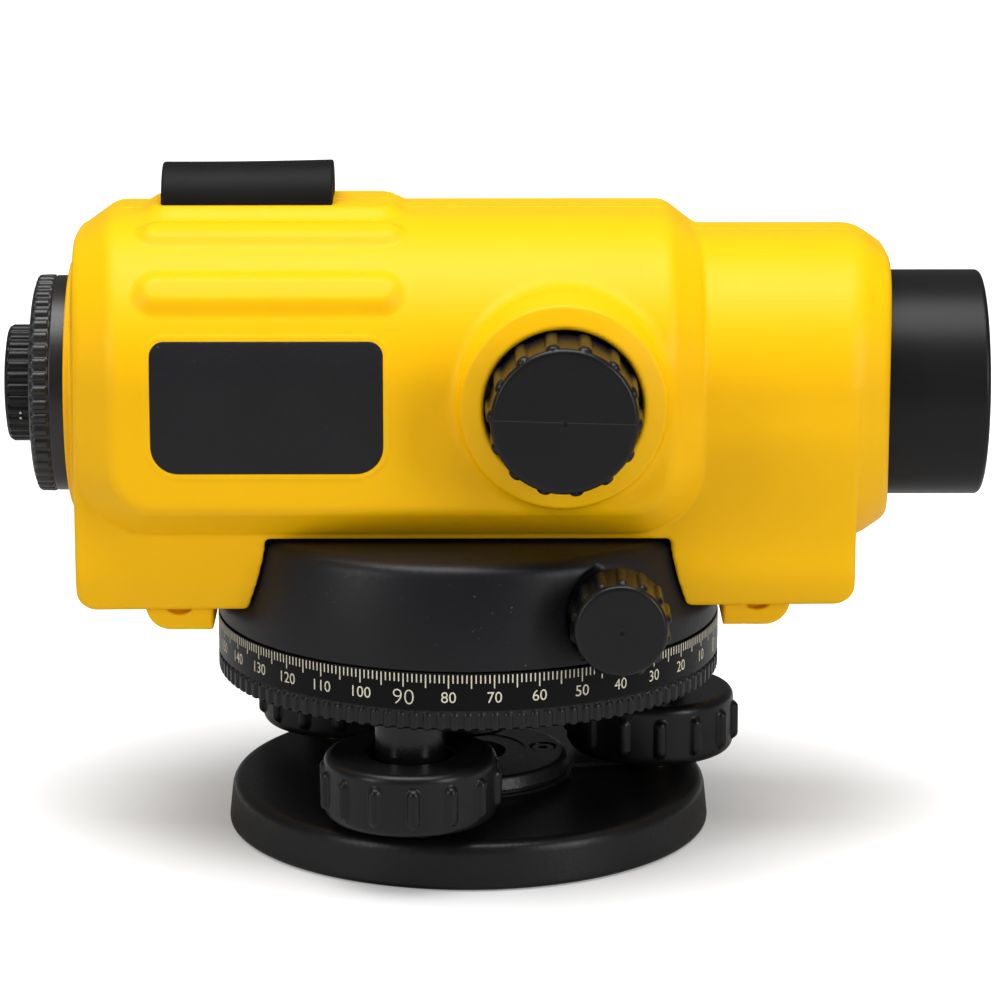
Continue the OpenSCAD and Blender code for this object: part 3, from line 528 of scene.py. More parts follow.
def raised_section(y, z):
    """Cross-section of the main casing; its lower end lies out of sight, below the cut."""
    lowest = 30.0
    return rbox2(y, z - (lowest + CROWN) / 2, HALF, (CROWN - lowest) / 2, CORNER)


def casing_plain(x, y, z):
    """Casing without ridges, boss and openings."""
    nose_sec = rbox2(y, z - 94.7, NOSE_HALF, 31.5, 28.0)
    w, h = 6.4, 4.4        # the nose's bevel, along X and across
    front = x - NOSE_FRONT + 0.0021 * np.minimum(y * y, 1100)
    nose = smax(smax(nose_sec, front, 0.8), (nose_sec * w + front * h + w * h) / math.hypot(w, h), 1.5)
    dome = 0.0026 * y * y + 0.0012 * np.maximum(z - AXIS_Z, 0) ** 2
    nose = smax(nose, dome + CASING_BACK - x, 1.2)
    bow = dome * np.clip(-x / 60, 0, 1)
    upper = sstep(62, 96, z)
    back = bow * upper + 1.85 * (1 - upper) * (x < 0)
    outline = rbox2(x - back + 1.4, z - SKIRT_RISE - 0.0074 * x - 92.3, 80.1, 40, 4.2)
    slab = smax(smax(np.abs(y) - side_half(z) + 0.35 * sstep(88, 99, z), outline, 1.4), z - 100, 1)
    base = smin(nose, slab, 0.5)
    sec = raised_section(y, z)
    edge = rbox2(x - bow + 16.95, z - (68.7 + 60), 64.55, 60, 15)
    depth = HALF - side_half(z) + 0.1
    width = 6.9
    bevel = (sec * width + edge * depth + width * depth) / np.hypot(width, depth)
    raised = smax(smax(sec, edge, 0.8), bevel, 1.1)
    return smin(base, raised, 0.8)


def ridge_height(x, y, z):
    """How far the grip ridges on the shoulders and the sight's seat stand above the casing."""
    cy, cz = HALF - CORNER, CROWN - CORNER
    ay = np.abs(y)
    phi = np.arctan2(ay - cy, z - cz)
    s = CORNER * phi
    xc, half = -39.6, 27.4
    out = 0.0
    for angle, wide, high in ((21.2, 4.7, 1.35), (51.5, 5.1, 1.45)):
        at = CORNER * math.radians(angle)
        q = np.hypot(np.maximum(np.abs(x - xc) - (half - wide), 0), s - at) - wide
        out = out + high * (1 - sstep(-wide * 0.68, 0.5, q))
    q = rbox2(x - xc, ay, half - 0.4, 13.0, 7.0)
    out = out + 1.8 * (1 - sstep(-3.4, 0.7, q))
    return np.where(z > AXIS_Z, out, 0)


def label_outline(x, z):
    """Distance to the label's outline, seen from the side."""
    r = np.where(z > LABEL_Z, 2.9, 5.6)
    return rbox2(x - LABEL_X, z - LABEL_Z, LABEL_W, LABEL_H, r)


def casing_sdf(x, y, z):
    """Both casing halves as one: ridges, collar, focus boss and lugs added, the inside and openings cut."""
    plain = casing_plain(x, y, z)
    frame_line = np.abs(label_outline(x, z) - 0.7)
    lip = 0.12 * (1 - sstep(0.1, 0.7, frame_line)) * (y < 0)
    d = plain - ridge_height(x, y, z) - lip
    radial = np.hypot(y, z - AXIS_Z)
    collar = smax(radial - 25.9, np.abs(x + 79.0) - 2.7, 0.6)
    d = smin(d, collar, 0.5)
    rho = np.hypot(x - FOCUS_X, z - FOCUS_Z)
    wall = (rho - (20.6 + np.minimum(y + 41.7, 5.5) * 0.3)) * 0.96
    face = (0.35 * (rho - 15.8) - 43.6 - y) * 0.944
    boss = smax(smax(wall, face, 0.5), y + 20, 1)
    d = smin(d, boss, 2.2)
    for s in (-1, 1):
        rise = 0.5 + 0.0082 * s * LUG_X
        lug = rbox2(x - s * 58.9, z - 55.7 - rise, 6.9, 7.9, 5.2)
        lug = np.where(s * x < 56, np.maximum(np.abs(x - s * 58.9) - 6.9, 47.8 + rise - z), lug)
        lug = smax(lug, np.abs(y) - 26.2, 0.8)
        dimple = np.hypot(x - s * 58.9, z - 54.6 - rise) - 3.5
        lug = smax(lug, -np.maximum(dimple, y + 24.4), 0.3)
        d = smin(d, smax(lug, z - 58, 1), 0.4)
    inner = plain + WALL
    post = 99.0
    for s in (-1, 1):
        post = np.minimum(post, np.hypot(x - s * LUG_X, z - 53.0) - 5)
    inner = np.maximum(inner, -post)
    d = smax(d, -inner, 0.3)
    arch = np.minimum(housing_sdf(x, y, z) - 0.5, rbox2(x, z - 37.9, 41.2, 30, 1.2))
    d = smax(d, -arch, 0.9)
    d = smax(d, -np.maximum(radial - 23.7, 60 - x), 0.8)
    d = smax(d, -np.maximum(radial - 22.6, x + 60), 0.4)
    d = smax(d, -np.maximum(rho - 15.8, y + 20), 1.3)
    for s in (-1, 1):
        hole = np.hypot(x - s * LUG_X, z - 52.6)
        d = smax(d, -np.maximum(hole - 1.7, -20.5 - y), 0.3)
        d = smax(d, -np.maximum(hole - 3.1, 19 - y), 0.5)
    return d


def casing_half(side):
    """Distance field of the half with Y on the given side of the middle seam."""
    def fn(x, y, z):
        return smax(casing_sdf(x, y, z), -side * y + 0.03, 0.3)
    return fn


CASING_STEP = grid_step(0.62)
sdf_piece("casing_right_shell", casing_half(-1), (-86.5, -47, 46), (87, 1.5, 136), CASING_STEP,
          "alidade", YELLOW, "casing_right")
sdf_piece("casing_left_shell", casing_half(1), (-86.5, -1.5, 46), (87, 41, 136), CASING_STEP,
          "alidade", YELLOW, "casing_left")


def side_surface(x, z, lift):
    """Y of the casing's right side at points (x, z), lifted outward."""
    y = np.full(len(x), -HALF - 3.0)
    for _ in range(40):
        y = y + 0.9 * (casing_plain(x, y, z) - lift)
    return y


def label_ring(inset, lift, n=280):
    """A ring of points along the label's outline, moved inward by inset, lying on the casing."""
    pts = []
    for sx, sz, r, a0 in ((1, 1, 2.9, 0), (-1, 1, 2.9, 90), (-1, -1, 5.6, 180), (1, -1, 5.6, 270)):
        cx, cz = LABEL_X + sx * (LABEL_W - r), LABEL_Z + sz * (LABEL_H - r)
        for k in range(13):
            a = math.radians(a0 + 90 * k / 12)
            pts.append((cx + (r - inset) * math.cos(a), cz + (r - inset) * math.sin(a)))
    ends = np.array(pts + pts[:1])
    along = np.concatenate([[0], np.cumsum(np.hypot(*np.diff(ends, axis=0).T))])
    even = np.linspace(0, along[-1], n, endpoint=False)
    p = np.stack([np.interp(even, along, ends[:, 0]), np.interp(even, along, ends[:, 1])], 1)
    return np.stack([p[:, 0], side_surface(p[:, 0], p[:, 1], lift), p[:, 1]], 1)


def label_sheet():
    """Rim rings first, then the middle filled by rings that shrink towards the label's centre."""
    rings = [label_ring(0.0, -0.6), label_ring(0.0, -0.05), label_ring(0.06, 0.04), label_ring(0.18, 0.1)]
    base = label_ring(0.3, 0.12)
    mid = np.array([LABEL_X, LABEL_Z])
    count = 26
    for k in range(count):
        t = 1 - k / count
        x = mid[0] + (base[:, 0] - mid[0]) * t
        z = mid[1] + (base[:, 2] - mid[1]) * t
        rings.append(np.stack([x, side_surface(x, z, 0.12), z], 1))
    n = len(base)
    v = np.concatenate(rings + [np.array([[mid[0], side_surface(mid[:1], mid[1:], 0.12)[0], mid[1]]])])
    f = []
    for a in range(len(rings) - 1):
        for k in range(n):
            f.append([a * n + k, a * n + (k + 1) % n, (a + 1) * n + (k + 1) % n, (a + 1) * n + k])
    last = (len(rings) - 1) * n
    f += [[last + k, last + (k + 1) % n, len(v) - 1] for k in range(n)]
    return v, f


v, f = label_sheet()
make_object("side_label", v, f, "alidade", LABEL, "name_plate")

# ---------------------------------------------------------------- black housing

HOUSING_WALL = 2.6


def housing_full(x, y, z):
    """The housing hollowed out, with blocks for the slow-motion screw and a recess for each of its knobs."""
    d = housing_sdf(x, y, z)
    inner = d + HOUSING_WALL
    rho = np.hypot(x - TANGENT_X, z - TANGENT_Z)
    blocks = np.maximum(np.maximum(rho - 13, 33.5 - np.abs(y)), 47.6 - z)
    inner = np.maximum(inner, z - 64.8)
    inner = np.minimum(inner, np.maximum(np.hypot(x, y) - 49.6, z - 60))
    inner = np.maximum(inner, -blocks)
    d = np.maximum(d, -inner)
    d = smax(d, -np.maximum(rho - 10.4, 42.7 - np.abs(y)), 0.8)
    return np.maximum(d, -(rho - 3.1))


sdf_piece("head_housing", housing_full, (-54, -54, 45), (54, 54, 69), grid_step(0.6),
          "alidade", HOUSING, "base_housing")

# ---------------------------------------------------------------- base plate and hub


def hub_screw_distance(x, y):
    """Distance to the nearest of the three hub screws' axes."""
    turns = [math.radians(a - HUB_SCREW_TURN) for a in FOOT_ANGLES]
    gaps = [np.hypot(x - HUB_SCREW_R * math.cos(t), y - HUB_SCREW_R * math.sin(t)) for t in turns]
    return np.minimum(np.minimum(gaps[0], gaps[1]), gaps[2])


def base_sdf(x, y, z):
    """Round foot plate with a raised hub, a hollow underside and the foot screws' ball seats."""
    rho = np.hypot(x, y)
    side = (rho - (50.8 - z * 0.107)) * 0.994
    d = smax(side, z - 9.8, 2.6)
    d = smax(d, -z, 1.2)
    hub = smax(rho - 21.4, z - 10.6, 0.6)
    d = smin(d, hub, 0.8)
    d = np.maximum(d, -z)
    d = np.maximum(d, 12.0 - rho)
    under = smax(np.abs(rho - 33.8) - 9.4, z - 1.0, 0.5)
    d = smax(d, -under, 0.5)
    for c, s in FOOT_TURNS:
        q = np.hypot(x - FOOT_R * c, y - FOOT_R * s)
        d = smax(d, -smax(q - 6.8, 7.6 - z, 0.8), 0.4)
        ball = np.sqrt(q * q + (z - 8.0) ** 2) - 3.05
        d = np.maximum(d, -ball)
    return smax(d, -np.maximum(hub_screw_distance(x, y) - 1.5, 3 - z), 0.2)


sdf_piece("base_casting", base_sdf, (-52, -52, -1), (52, 52, 12), grid_step(0.6),
          "base", PAINT, "base_plate")


def hub_sdf(x, y, z):
    """Tapered cap over the tripod thread, with countersunk screw holes."""
    rho = np.hypot(x, y)
    d = smax(smax((rho - 21.6 + (z - 11.3) * 0.42) * 0.92, z - 14.2, 0.6), 11.3 - z, 0.3)
    d = smax(d, 12.05 - rho, 0.3)
    q = hub_screw_distance(x, y)
    d = smax(d, -(q - 1.6), 0.2)
    return smax(d, -np.maximum(q - 2.8, 12.5 - z), 0.25)


sdf_piece("hub_cap", hub_sdf, (-22, -22, 10.8), (22, 22, 15), grid_step(0.35),
          "base", PAINT, "hub_cover")

# ---------------------------------------------------------------- foot screws


def foot_place(i):
    """Where foot screw i stands, turned to face outward."""
    a = math.radians(FOOT_ANGLES[i])
    return Matrix.Translation((FOOT_R * math.cos(a), FOOT_R * math.sin(a), 0)) @ Matrix.Rotation(a, 4, "Z")


THREAD_PITCH, THREAD_DEPTH = 0.6, 0.2


def foot_thread(T, R, H):
    """Helical groove on the upper part of a foot screw's stem."""
    on = np.clip((H - 21.9) / 0.4, 0, 1) * np.clip((30.6 - H) / 0.3, 0, 1) * (R > 3.5)
    return -THREAD_DEPTH * on * (0.5 + 0.5 * np.cos(2 * np.pi * (H / THREAD_PITCH) - T))


STEM_OUTLINE = [(0, 11.6), (1.4, 11.6), (1.8, 12), (1.8, 13.5), (3.6, 13.5), (4, 13.9), (4, 30.6)]
STEM_OUTLINE += [(3.4, 31.2), (0, 31.2)]
KNOB_R, KNOB_LO, KNOB_HI = 17.6, 12.6, 25.6
KNOB_OVALS = 14        # raised ovals around every knob
PER_OVAL = 26          # mesh columns for each
GRIP_PHASE = [0.344, 0.075, 0.12]      # how far each knob stands turned, in radians
for i in range(3):
    prof = [(4.0, 14.0), (7.0, 14.0)] + arc(7.5, 13.1, 0.5, 180, 270, 3)
    prof += arc(KNOB_R - 2.0, KNOB_LO + 2.0, 2.0, -90, 0, 8)
    prof += arc(KNOB_R - 1.7, KNOB_HI - 1.7, 1.7, 0, 90, 8)
    prof += arc(9.5, KNOB_HI - 0.7, 0.7, 90, 180, 4)
    prof += [(8.5, KNOB_HI - 3.8), (4.0, KNOB_HI - 3.8)]
    push = grip_bumps(KNOB_OVALS, KNOB_R, KNOB_LO + 6.3, 4.1, 1.3, 1.2, phase=GRIP_PHASE[i])
    v, f = lathe(refine(prof, 0.42), KNOB_OVALS * PER_OVAL, push)
    screw = f"screw_{i + 1}"
    make_object(f"foot_grip_{i + 1}", placed(v, foot_place(i)), f, screw, BLACK, f"foot_knob_{i + 1}")
    v, f = lathe(refine(STEM_OUTLINE, 0.12), 48, foot_thread, closed=False)
    make_object(f"foot_thread_{i + 1}", placed(v, foot_place(i)), f, screw, STEEL, f"foot_stem_{i + 1}")


def tribrach_sdf(x, y, z):
    """Round middle with three arms, each ending in a boss over its foot screw."""
    rho = np.hypot(x, y)
    d = smax(smax(rho - 27, z - 34.2, 0.6), 29.6 - z, 1.0)
    d = smin(d, smax(smax(rho - 25, z - 33, 1), 28 - z, 1.0), 0.5)
    d = smin(d, smax(smax(rho - 20, z - 38.4, 0.5), 30 - z, 1), 0.5)
    for c, s in FOOT_TURNS:
        u, w = x * c + y * s, -x * s + y * c
        arm = smax(smax(rbox2(u - 27, w, 13.2, 6.5, 1.0), z - 34.2, 0.6), 29.6 - z, 1.6)
        d = smin(d, arm, 3.0)
        q = np.hypot(x - FOOT_R * c, y - FOOT_R * s)
        d = smin(d, smax(smax(q - 7.2, z - 34.2, 0.6), 24.2 - z, 0.9), 1.2)
    for c, s in FOOT_TURNS:
        q = np.hypot(x - FOOT_R * c, y - FOOT_R * s)
        d = smax(d, -np.maximum(q - 4.06, z - 33.4), 0.3)
    return np.maximum(d, 12.0 - rho)


sdf_piece("tribrach_casting", tribrach_sdf, (-50, -50, 23), (50, 50, 40), grid_step(0.6),
          "tribrach", GLOSS, "tribrach_body")

# ---------------------------------------------------------------- graduated circle

RING_R = 52.5
GRIP_RIDGES = 120
GRIP_TOP = 38.2        # upper edge of the grip band
ZERO_ANGLE = -90.0 - 14.2 + 90.0     # direction of the zero mark from +X in degrees; numbers grow clockwise


def ring_ridges(T, R, H):
    """Grip band: upright ridges with arched tops on the lower half of the rim."""
    n = GRIP_RIDGES
    a = T * n / (2 * np.pi)
    a = (a - np.round(a)) * 2 * np.pi / n * RING_R
    half = 0.8
    top, bottom = 37.8, 32.6
    dh = np.maximum(H - (top - half), 0) + np.maximum(bottom - H, 0)
    q = np.hypot(a, dh)
    ridge = 1 - sstep(half - 0.28, half + 0.12, q)
    band = (1 - sstep(37.95, 38.3, H)) * np.clip((R - 51.4) / 0.3, 0, 1)
    return band * (ridge * 0.52 - 0.5)


prof = [(20.1, 35.2), (48.6, 35.2)] + arc(49.4, 34.5, 0.5, 180, 270, 2)
prof += arc(52.5 - 0.7, 34.0 + 0.7, 0.7, -90, 0, 5)
prof += [(52.5, 37.7), (52.5, 38.3)] + arc(52.5 - 0.15, 46.0 - 0.15, 0.15, 0, 90, 3)
prof += arc(50.8, 45.6, 0.4, 90, 180, 3) + [(50.4, 37.3), (20.1, 37.3)]
v, f = lathe(refine(prof, 0.34), GRIP_RIDGES * (13), ring_ridges)
circle = make_object("circle_ring", v, f, "circle", CIRCLE, "horizontal_circle")
# Faces of the grip band below GRIP_TOP take the paler, glossier copy: painted light on the teeth.
circle.data.materials.append(LIT_TEETH)
for poly in circle.data.polygons:
    poly.material_index = int(poly.center.z < GRIP_TOP * MM)


def on_ring(deg, z, r):
    """A point at an angle around the vertical axis."""
    a = math.radians(deg)
    return (r * math.cos(a), r * math.sin(a), z)


verts, faces = [], []
R_OUT, R_IN = RING_R + 0.03, RING_R - 0.15
for k in range(360):
    length = 2.75 if k % 5 == 0 else 1.7
    width = 0.25
    d = math.degrees(width / 2 / RING_R)
    c = ZERO_ANGLE - k
    z1, z0 = 45.75, 45.75 - length
    b = len(verts)
    for r in (R_IN, R_OUT):
        verts += [on_ring(c - d, z0, r), on_ring(c + d, z0, r), on_ring(c + d, z1, r), on_ring(c - d, z1, r)]
    faces += [[b, b + 3, b + 2, b + 1], [b + 4, b + 5, b + 6, b + 7], [b, b + 1, b + 5, b + 4],
              [b + 1, b + 2, b + 6, b + 5], [b + 2, b + 3, b + 7, b + 6], [b + 3, b, b + 4, b + 7]]
ticks = make_object("circle_graduations", verts, faces, "circle", INK, smooth=False)


def text_mesh(body, size, thin):
    """Points and faces of a number in the built-in font; thin moves its outline in or out."""
    cu = bpy.data.curves.new("digits", "FONT")
    cu.body = body
    cu.size = size
    cu.align_x = "CENTER"
    cu.align_y = "CENTER"
    cu.resolution_u = 4
    cu.extrude = 0.09
    cu.offset = thin
    ob = bpy.data.objects.new("digits", cu)
    bpy.context.scene.collection.objects.link(ob)
    bpy.context.view_layer.update()
    me = bpy.data.meshes.new_from_object(ob.evaluated_get(bpy.context.evaluated_depsgraph_get()))
    v = np.array([p.co for p in me.vertices], float).reshape(-1, 3)
    f = [list(p.vertices) for p in me.polygons]
    bpy.data.objects.remove(ob)
    bpy.data.curves.remove(cu)
    bpy.data.meshes.remove(me)
    return v, f


verts, faces = [], []
for k in range(0, 360, 10):
    big = k % 90 == 0
    v, f = text_mesh(str(k), 4.6 if big else 3.25, -0.085 if big else -0.01)
    v[:, 0] *= 1.04 if big else 0.98
    a = math.radians(ZERO_ANGLE - k) + v[:, 0] / RING_R
    r = RING_R - 0.06 + v[:, 2]
    z = (40.75 if big else 41.0) + v[:, 1]
    b = len(verts)
    verts += list(np.stack([r * np.cos(a), r * np.sin(a), z], 1))
    faces += [[b + i for i in q] for q in f]
num = make_object("circle_numbers", verts, faces, "circle", INK, smooth=False)

# ---------------------------------------------------------------- knobs on the head


def side_knob(name, r, y0, y1, place, body, node, bump_h, bump_w, bump_mid, bump_len, hub_r,
              phase=0.0, bore=2.5, bore_end=52.0, fillet=1.0, mat=BLACK, flare=0.0):
    """Knob on a side shaft, from y0 out to y1, with raised ovals; flare widens its inner end."""
    prof = [(bore, y0), (hub_r, y0)]
    if hub_r > 5:          # the hub of a large knob stands back from its grip
        prof = [(bore, y0 - 3.6), (hub_r, y0 - 3.6), (hub_r, y0)]
    prof += arc(r + flare - 0.9, y0 + 0.9, 0.9, -90, 0, 4) + [(r + flare, y0 + 4)]
    prof += arc(r - fillet, y1 - fillet, fillet, 0, 90, 8)
    prof += [(1.0, y1), (0.75, y1 + 0.05), (0.45, y1 - 0.2), (0, y1 - 0.25)]
    back = [(0, bore_end), (bore, bore_end)]
    push = grip_bumps(KNOB_OVALS, r, bump_mid, bump_len, bump_w, bump_h, phase)
    full = refine(prof, 0.4)
    v, f = lathe(full + refine(back, 2.0), KNOB_OVALS * PER_OVAL, push)
    return make_object(name, placed(v, place), f, body, mat, node)


FOCUS_FACE = 55.6      # outer face of the focusing knob
SEAMED = moulded("focus_knob_plastic", KNOB_BLACK, **KNOB_LOOK)
weld_line(SEAMED, FOCUS_X, FOCUS_Z, -0.03, FOCUS_FACE)
side_knob("focus_grip", 14.6, 40.0, FOCUS_FACE, to_minus_y(FOCUS_X, FOCUS_Z), "focus_drive", "focus_knob",
          0.75, 1.4, 48.2, 6.8, 7.0, phase=0.39, fillet=1.1, mat=SEAMED, flare=0.25)
for side, place in (("right", to_minus_y), ("left", to_plus_y)):
    side_knob(f"slow_motion_grip_{side}", 9.3, 43.1, 58.0, place(TANGENT_X, TANGENT_Z), "slow_motion",
              f"tangent_knob_{side}", 0.85, 1.05, 51.5, 5.4, 4.6, phase=0.2, bore=3.0)

# ---------------------------------------------------------------- objective

prof = [(19.45, 74), (20.95, 74), (20.95, 81.9), (23.2, 81.9), (23.3, 84), (23.3, 104.7)]
prof += arc(23.3 - 1.1, 106.1 - 1.1, 1.1, 0, 90, 7) + arc(22.0, 105.7, 0.4, 90, 180, 3)
prof += [(21.5, 104.5), (21.3, 96.2), (19.9, 95.2), (19.45, 95.0)]
prof += [(19.45, 86.2), (18.4, 86.2), (18.4, 85.4), (19.45, 85)]


def hood_grooves(T, R, H):
    """Fine anti-glare steps on the inside of the hood."""
    on = (R < 21.8) & (R > 20.5) & (H > 96.5) & (H < 104.3)
    return np.where(on, -0.16 * (0.5 + 0.5 * np.cos(2 * np.pi * H / 0.8)), 0)


v, f = lathe(refine(prof, 0.2), 160, hood_grooves)
make_object("objective_tube", placed(v, to_plus_x()), f, "alidade", ANODISED, "objective_hood")


def cap_curve(r0, r1, x_edge, x_mid, n=14):
    """A shallow lens face from radius r0 to r1, x_mid on the axis and x_edge at the rim."""
    radii = [r0 + (r1 - r0) * i / n for i in range(n + 1)]
    return [(r, x_mid + (x_edge - x_mid) * (r / max(r0, r1)) ** 2) for r in radii]


front = cap_curve(19.3, 0.0, 91.2, 93.8)
prof = [(0, 88.6)] + refine([(0, 88.6), (19.3, 89.6)], 2.0)[1:] + [(19.4, 89.8), (19.4, 91.0)] + front
v, f = lathe(prof, 96, closed=False)
make_object("objective_front_lens", placed(v, to_plus_x()), f, "alidade", GLASS, "objective_crown")
prof = [(0, 86.4)] + refine([(0, 86.4), (19.4, 86.4)], 2.0)[1:] + [(19.4, 89.4), (19.2, 89.45)]
prof += refine([(19.2, 89.45), (0, 88.5)], 2.0)[1:]
v, f = lathe(prof, 96, closed=False)
make_object("objective_rear_lens", placed(v, to_plus_x()), f, "alidade", GLASS, "objective_flint")
prof = [(18.2, 91.6), (19.4, 91.6), (19.4, 93.7), (19.1, 94.0), (18.9, 94.0), (18.2, 92.4)]
v, f = lathe(refine(prof, 0.3), 96)
make_object("objective_lock_ring", placed(v, to_plus_x()), f, "alidade", ANODISED, "objective_ring")

# ---------------------------------------------------------------- eyepiece end


COVER_BUMPS, DIOPTER_RIBS = 48, 30


def cover_bumps(T, R, H):
    """Rounded ridges around the reticle cover's rim."""
    n = COVER_BUMPS
    a = T * n / (2 * np.pi)
    a = (a - np.round(a)) * 2
    ridge = np.sqrt(np.clip(1 - (a / 0.66) ** 2, 0, 1))
    return 0.6 * ridge * sstep(85.1, 85.5, H) * (1 - sstep(88.3, 88.9, H)) * (R > 19.5)


prof = [(12.6, 84.6), (19.1, 84.6), (19.1, 81.2), (21.9, 81.2), (22.3, 81.6)]
prof += [(22.3, 84.8), (21.9, 85.2), (21.85, 87.6)]
prof += arc(20.2, 87.5, 1.7, 15, 90, 6) + [(15.2, 89.15), (14.8, 88.9), (13.2, 88.8), (12.6, 88.5)]
v, f = lathe(refine(prof, 0.25), COVER_BUMPS * 16, cover_bumps)
make_object("reticle_cover_ring", placed(v, to_minus_x()), f, "cover", COVER, "reticle_cover")


def diopter_ribs(T, R, H):
    """Rounded ridges around the dioptre ring, with a groove between them."""
    n = DIOPTER_RIBS
    a = T * n / (2 * np.pi)
    a = (a - np.round(a)) * 2
    ridge = np.sqrt(np.clip(1 - (a / 0.7) ** 2, 0, 1))
    return 0.45 * (ridge - 0.6) * sstep(89.7, 90.1, H) * (1 - sstep(94.0, 94.5, H)) * (R > 11)


prof = [(9.85, 86), (12.3, 86), (12.3, 89.2), (11.9, 89.5), (11.9, 94.0)] + arc(11.0, 94.1, 0.9, 0, 90, 5)
prof += [(10.2, 94.9)] + arc(9.4, 94.75, 0.5, -30, 90, 5)
prof += [(8.3, 95.25), (7.2, 95.0), (7.0, 94.6), (8.4, 94.1), (9.85, 93.9)]
v, f = lathe(refine(prof, 0.25), DIOPTER_RIBS * 16, diopter_ribs)
make_object("diopter_grip", placed(v, to_minus_x()), f, "dioptre", BLACK, "diopter_ring")
for turn, name in ((-19.0, "diopter_index_plus"), (-25.0, "diopter_index_minus")):
    v, f = lathe([(0, 12.0), (0.28, 12.0), (0.28, 12.18), (0.2, 12.24), (0, 12.25)], 16, closed=False)
    aim = Matrix.Translation((-91.8, 0, AXIS_Z)) @ Matrix.Rotation(math.radians(90 - turn), 4, "X")
    dot = make_object(name, placed(v, aim), f, "dioptre", INK)
EYE_LENS = [(0, 89), (3, 89.1), (6, 89.45), (8.35, 89.85), (8.35, 90.5), (6, 90.8), (3, 90.95), (0, 91)]
FIELD_LENS = [(0, 80.6), (4, 80.8), (8.35, 81.4), (8.35, 82.6), (6, 83.2), (3, 83.65), (0, 83.8)]
for name, prof in (("eyepiece_eye_lens", EYE_LENS), ("eyepiece_field_lens", FIELD_LENS)):
    v, f = lathe(refine(prof, 0.6), 64, closed=False)
    make_object(name, placed(v, to_minus_x()), f, "eyepiece", GLASS, "eyepiece_lenses")

# ---------------------------------------------------------------- sight

SIGHT_X, SIGHT_HALF = -44.95, 17.5     # middle and half length


def sight_sdf(x, y, z):
    """Half-round peep sight on the crown, with a tunnel that widens at both mouths."""
    u = x - SIGHT_X
    sag = 0.15 * (1 - (u / SIGHT_HALF) ** 2) - 0.012 * u
    tube = np.hypot(y, z + sag * np.clip((z - 133) / 7, 0, 1) - 131.5) - 8.9
    tube = smax(tube, np.abs(u) - SIGHT_HALF, 0.6)
    tunnel = np.hypot(y, z - 136.9) - 2.0
    mouth = np.hypot(y, z - 136.0) - (3.2 - 1.1 * np.clip(SIGHT_HALF - np.abs(u), 0, 2))
    tube = smax(tube, -np.minimum(tunnel, mouth), 0.4)
    skin = casing_plain(x, y, z) - ridge_height(x, y, z)
    return smax(tube, -(skin - 0.06), 0.3)


sdf_piece("peep_sight", sight_sdf, (-64, -11, 129), (-26, 11, 142), grid_step(0.33),
          "alidade", SIGHT, "sight_body")

# ---------------------------------------------------------------- vial and mirror

VX, VY, VZ = -46.0, 49.0, 99.0         # middle of the vial, just under its glass


def vial_sdf(x, y, z):
    """Round cup for the vial, on a foot from the casing, with two ears for the mirror's hinge."""
    q = np.hypot(x - VX, y - VY)
    cup = smax(smax(q - 10.4, z - (VZ + 1), 0.9), VZ - 9 - z, 1.6)
    foot = smax(smax(rbox2(x - VX, z - (VZ - 9), 8, 3.2, 1.4), y - VY, 1), 33 - y, 0.5)
    d = smin(cup, foot, 1.6)
    for s in (-1, 1):
        ear = rbox2(x - (VX + 10.9), z - (VZ + 1.1), 2.2, 6.1, 2.0)
        d = smin(d, smax(ear, np.abs(y - VY - s * 6) - 1.45, 0.5), 0.5)
    d = smax(d, -np.maximum(q - 8.5, VZ - 6 - z), 0.4)
    d = np.maximum(d, -(np.hypot(x - (VX + 11.4), z - (VZ + 5.4)) - 1.06))
    return smax(d, -(casing_plain(x, y, z) - ridge_height(x, y, z)), 0.2)


sdf_piece("vial_cup", vial_sdf, (-60, 33, 84), (-30, 62, 108), grid_step(0.4),
          "alidade", BLACK, "vial_housing")
prof = [(0, 93.1), (7.6, 93.1), (8.4, 93.6), (8.4, 99.0), (8.0, 99.6), (4, 100.1), (0, 100.3)]
v, f = lathe(refine(prof, 0.8), 64, closed=False)
make_object("vial_window", placed(v, Matrix.Translation((VX, VY, 0))), f, "alidade", VIAL, "vial_glass")
prof = [(0, 97.6), (1.6, 97.7), (2.5, 98.3), (2.6, 98.9), (1.8, 99.4), (0, 99.6)]
v, f = lathe(refine(prof, 0.3), 40, closed=False)
bub = make_object("vial_bubble", placed(v, Matrix.Translation((VX + 0.4, VY - 0.3, 0))), f, "alidade", BUBBLE)
prof = [(3.1, 100.24), (3.4, 100.22), (3.4, 100.30), (3.1, 100.32)]
v, f = lathe(prof, 64)
ringmark = make_object("vial_ring_mark", placed(v, Matrix.Translation((VX, VY, 0))), f, "alidade", INK)

# ---------------------------------------------------------------- inner and hidden CAD nodes: materials only

FINISH = {
    "tripod_insert": PAINT, "foot_ball_1": STEEL, "foot_ball_2": STEEL, "foot_ball_3": STEEL,
    "spring_plate": PAINT, "plate_screws": BLACK, "foot_pad_1": BRASS, "foot_pad_2": BRASS,
    "foot_pad_3": BRASS, "axis_bush": DARK_STEEL, "worm_wheel": BRASS, "clutch_spring": STEEL,
    "clutch_nut": DARK_STEEL, "spindle": BLACK, "spindle_nut": BLACK,
    "housing_floor": HOUSING, "worm": STEEL_Y, "telescope_body": CAST, "casing_screws": DARK_STEEL,
    "focus_cell": ANODISED, "focus_lens": GLASS, "focus_rack": BRASS_X, "focus_pinion": BRASS,
    "compensator_frame": ANODISED, "pendulum_frame": BRASS, "pendulum_prism": PRISM, "roof_prism": PRISM,
    "suspension_wires": STEEL, "reticle_cell": ANODISED, "reticle_glass": PRISM, "eyepiece_barrel": ANODISED,
    "mirror_arm": BLACK, "mirror_glass": MIRROR,
}
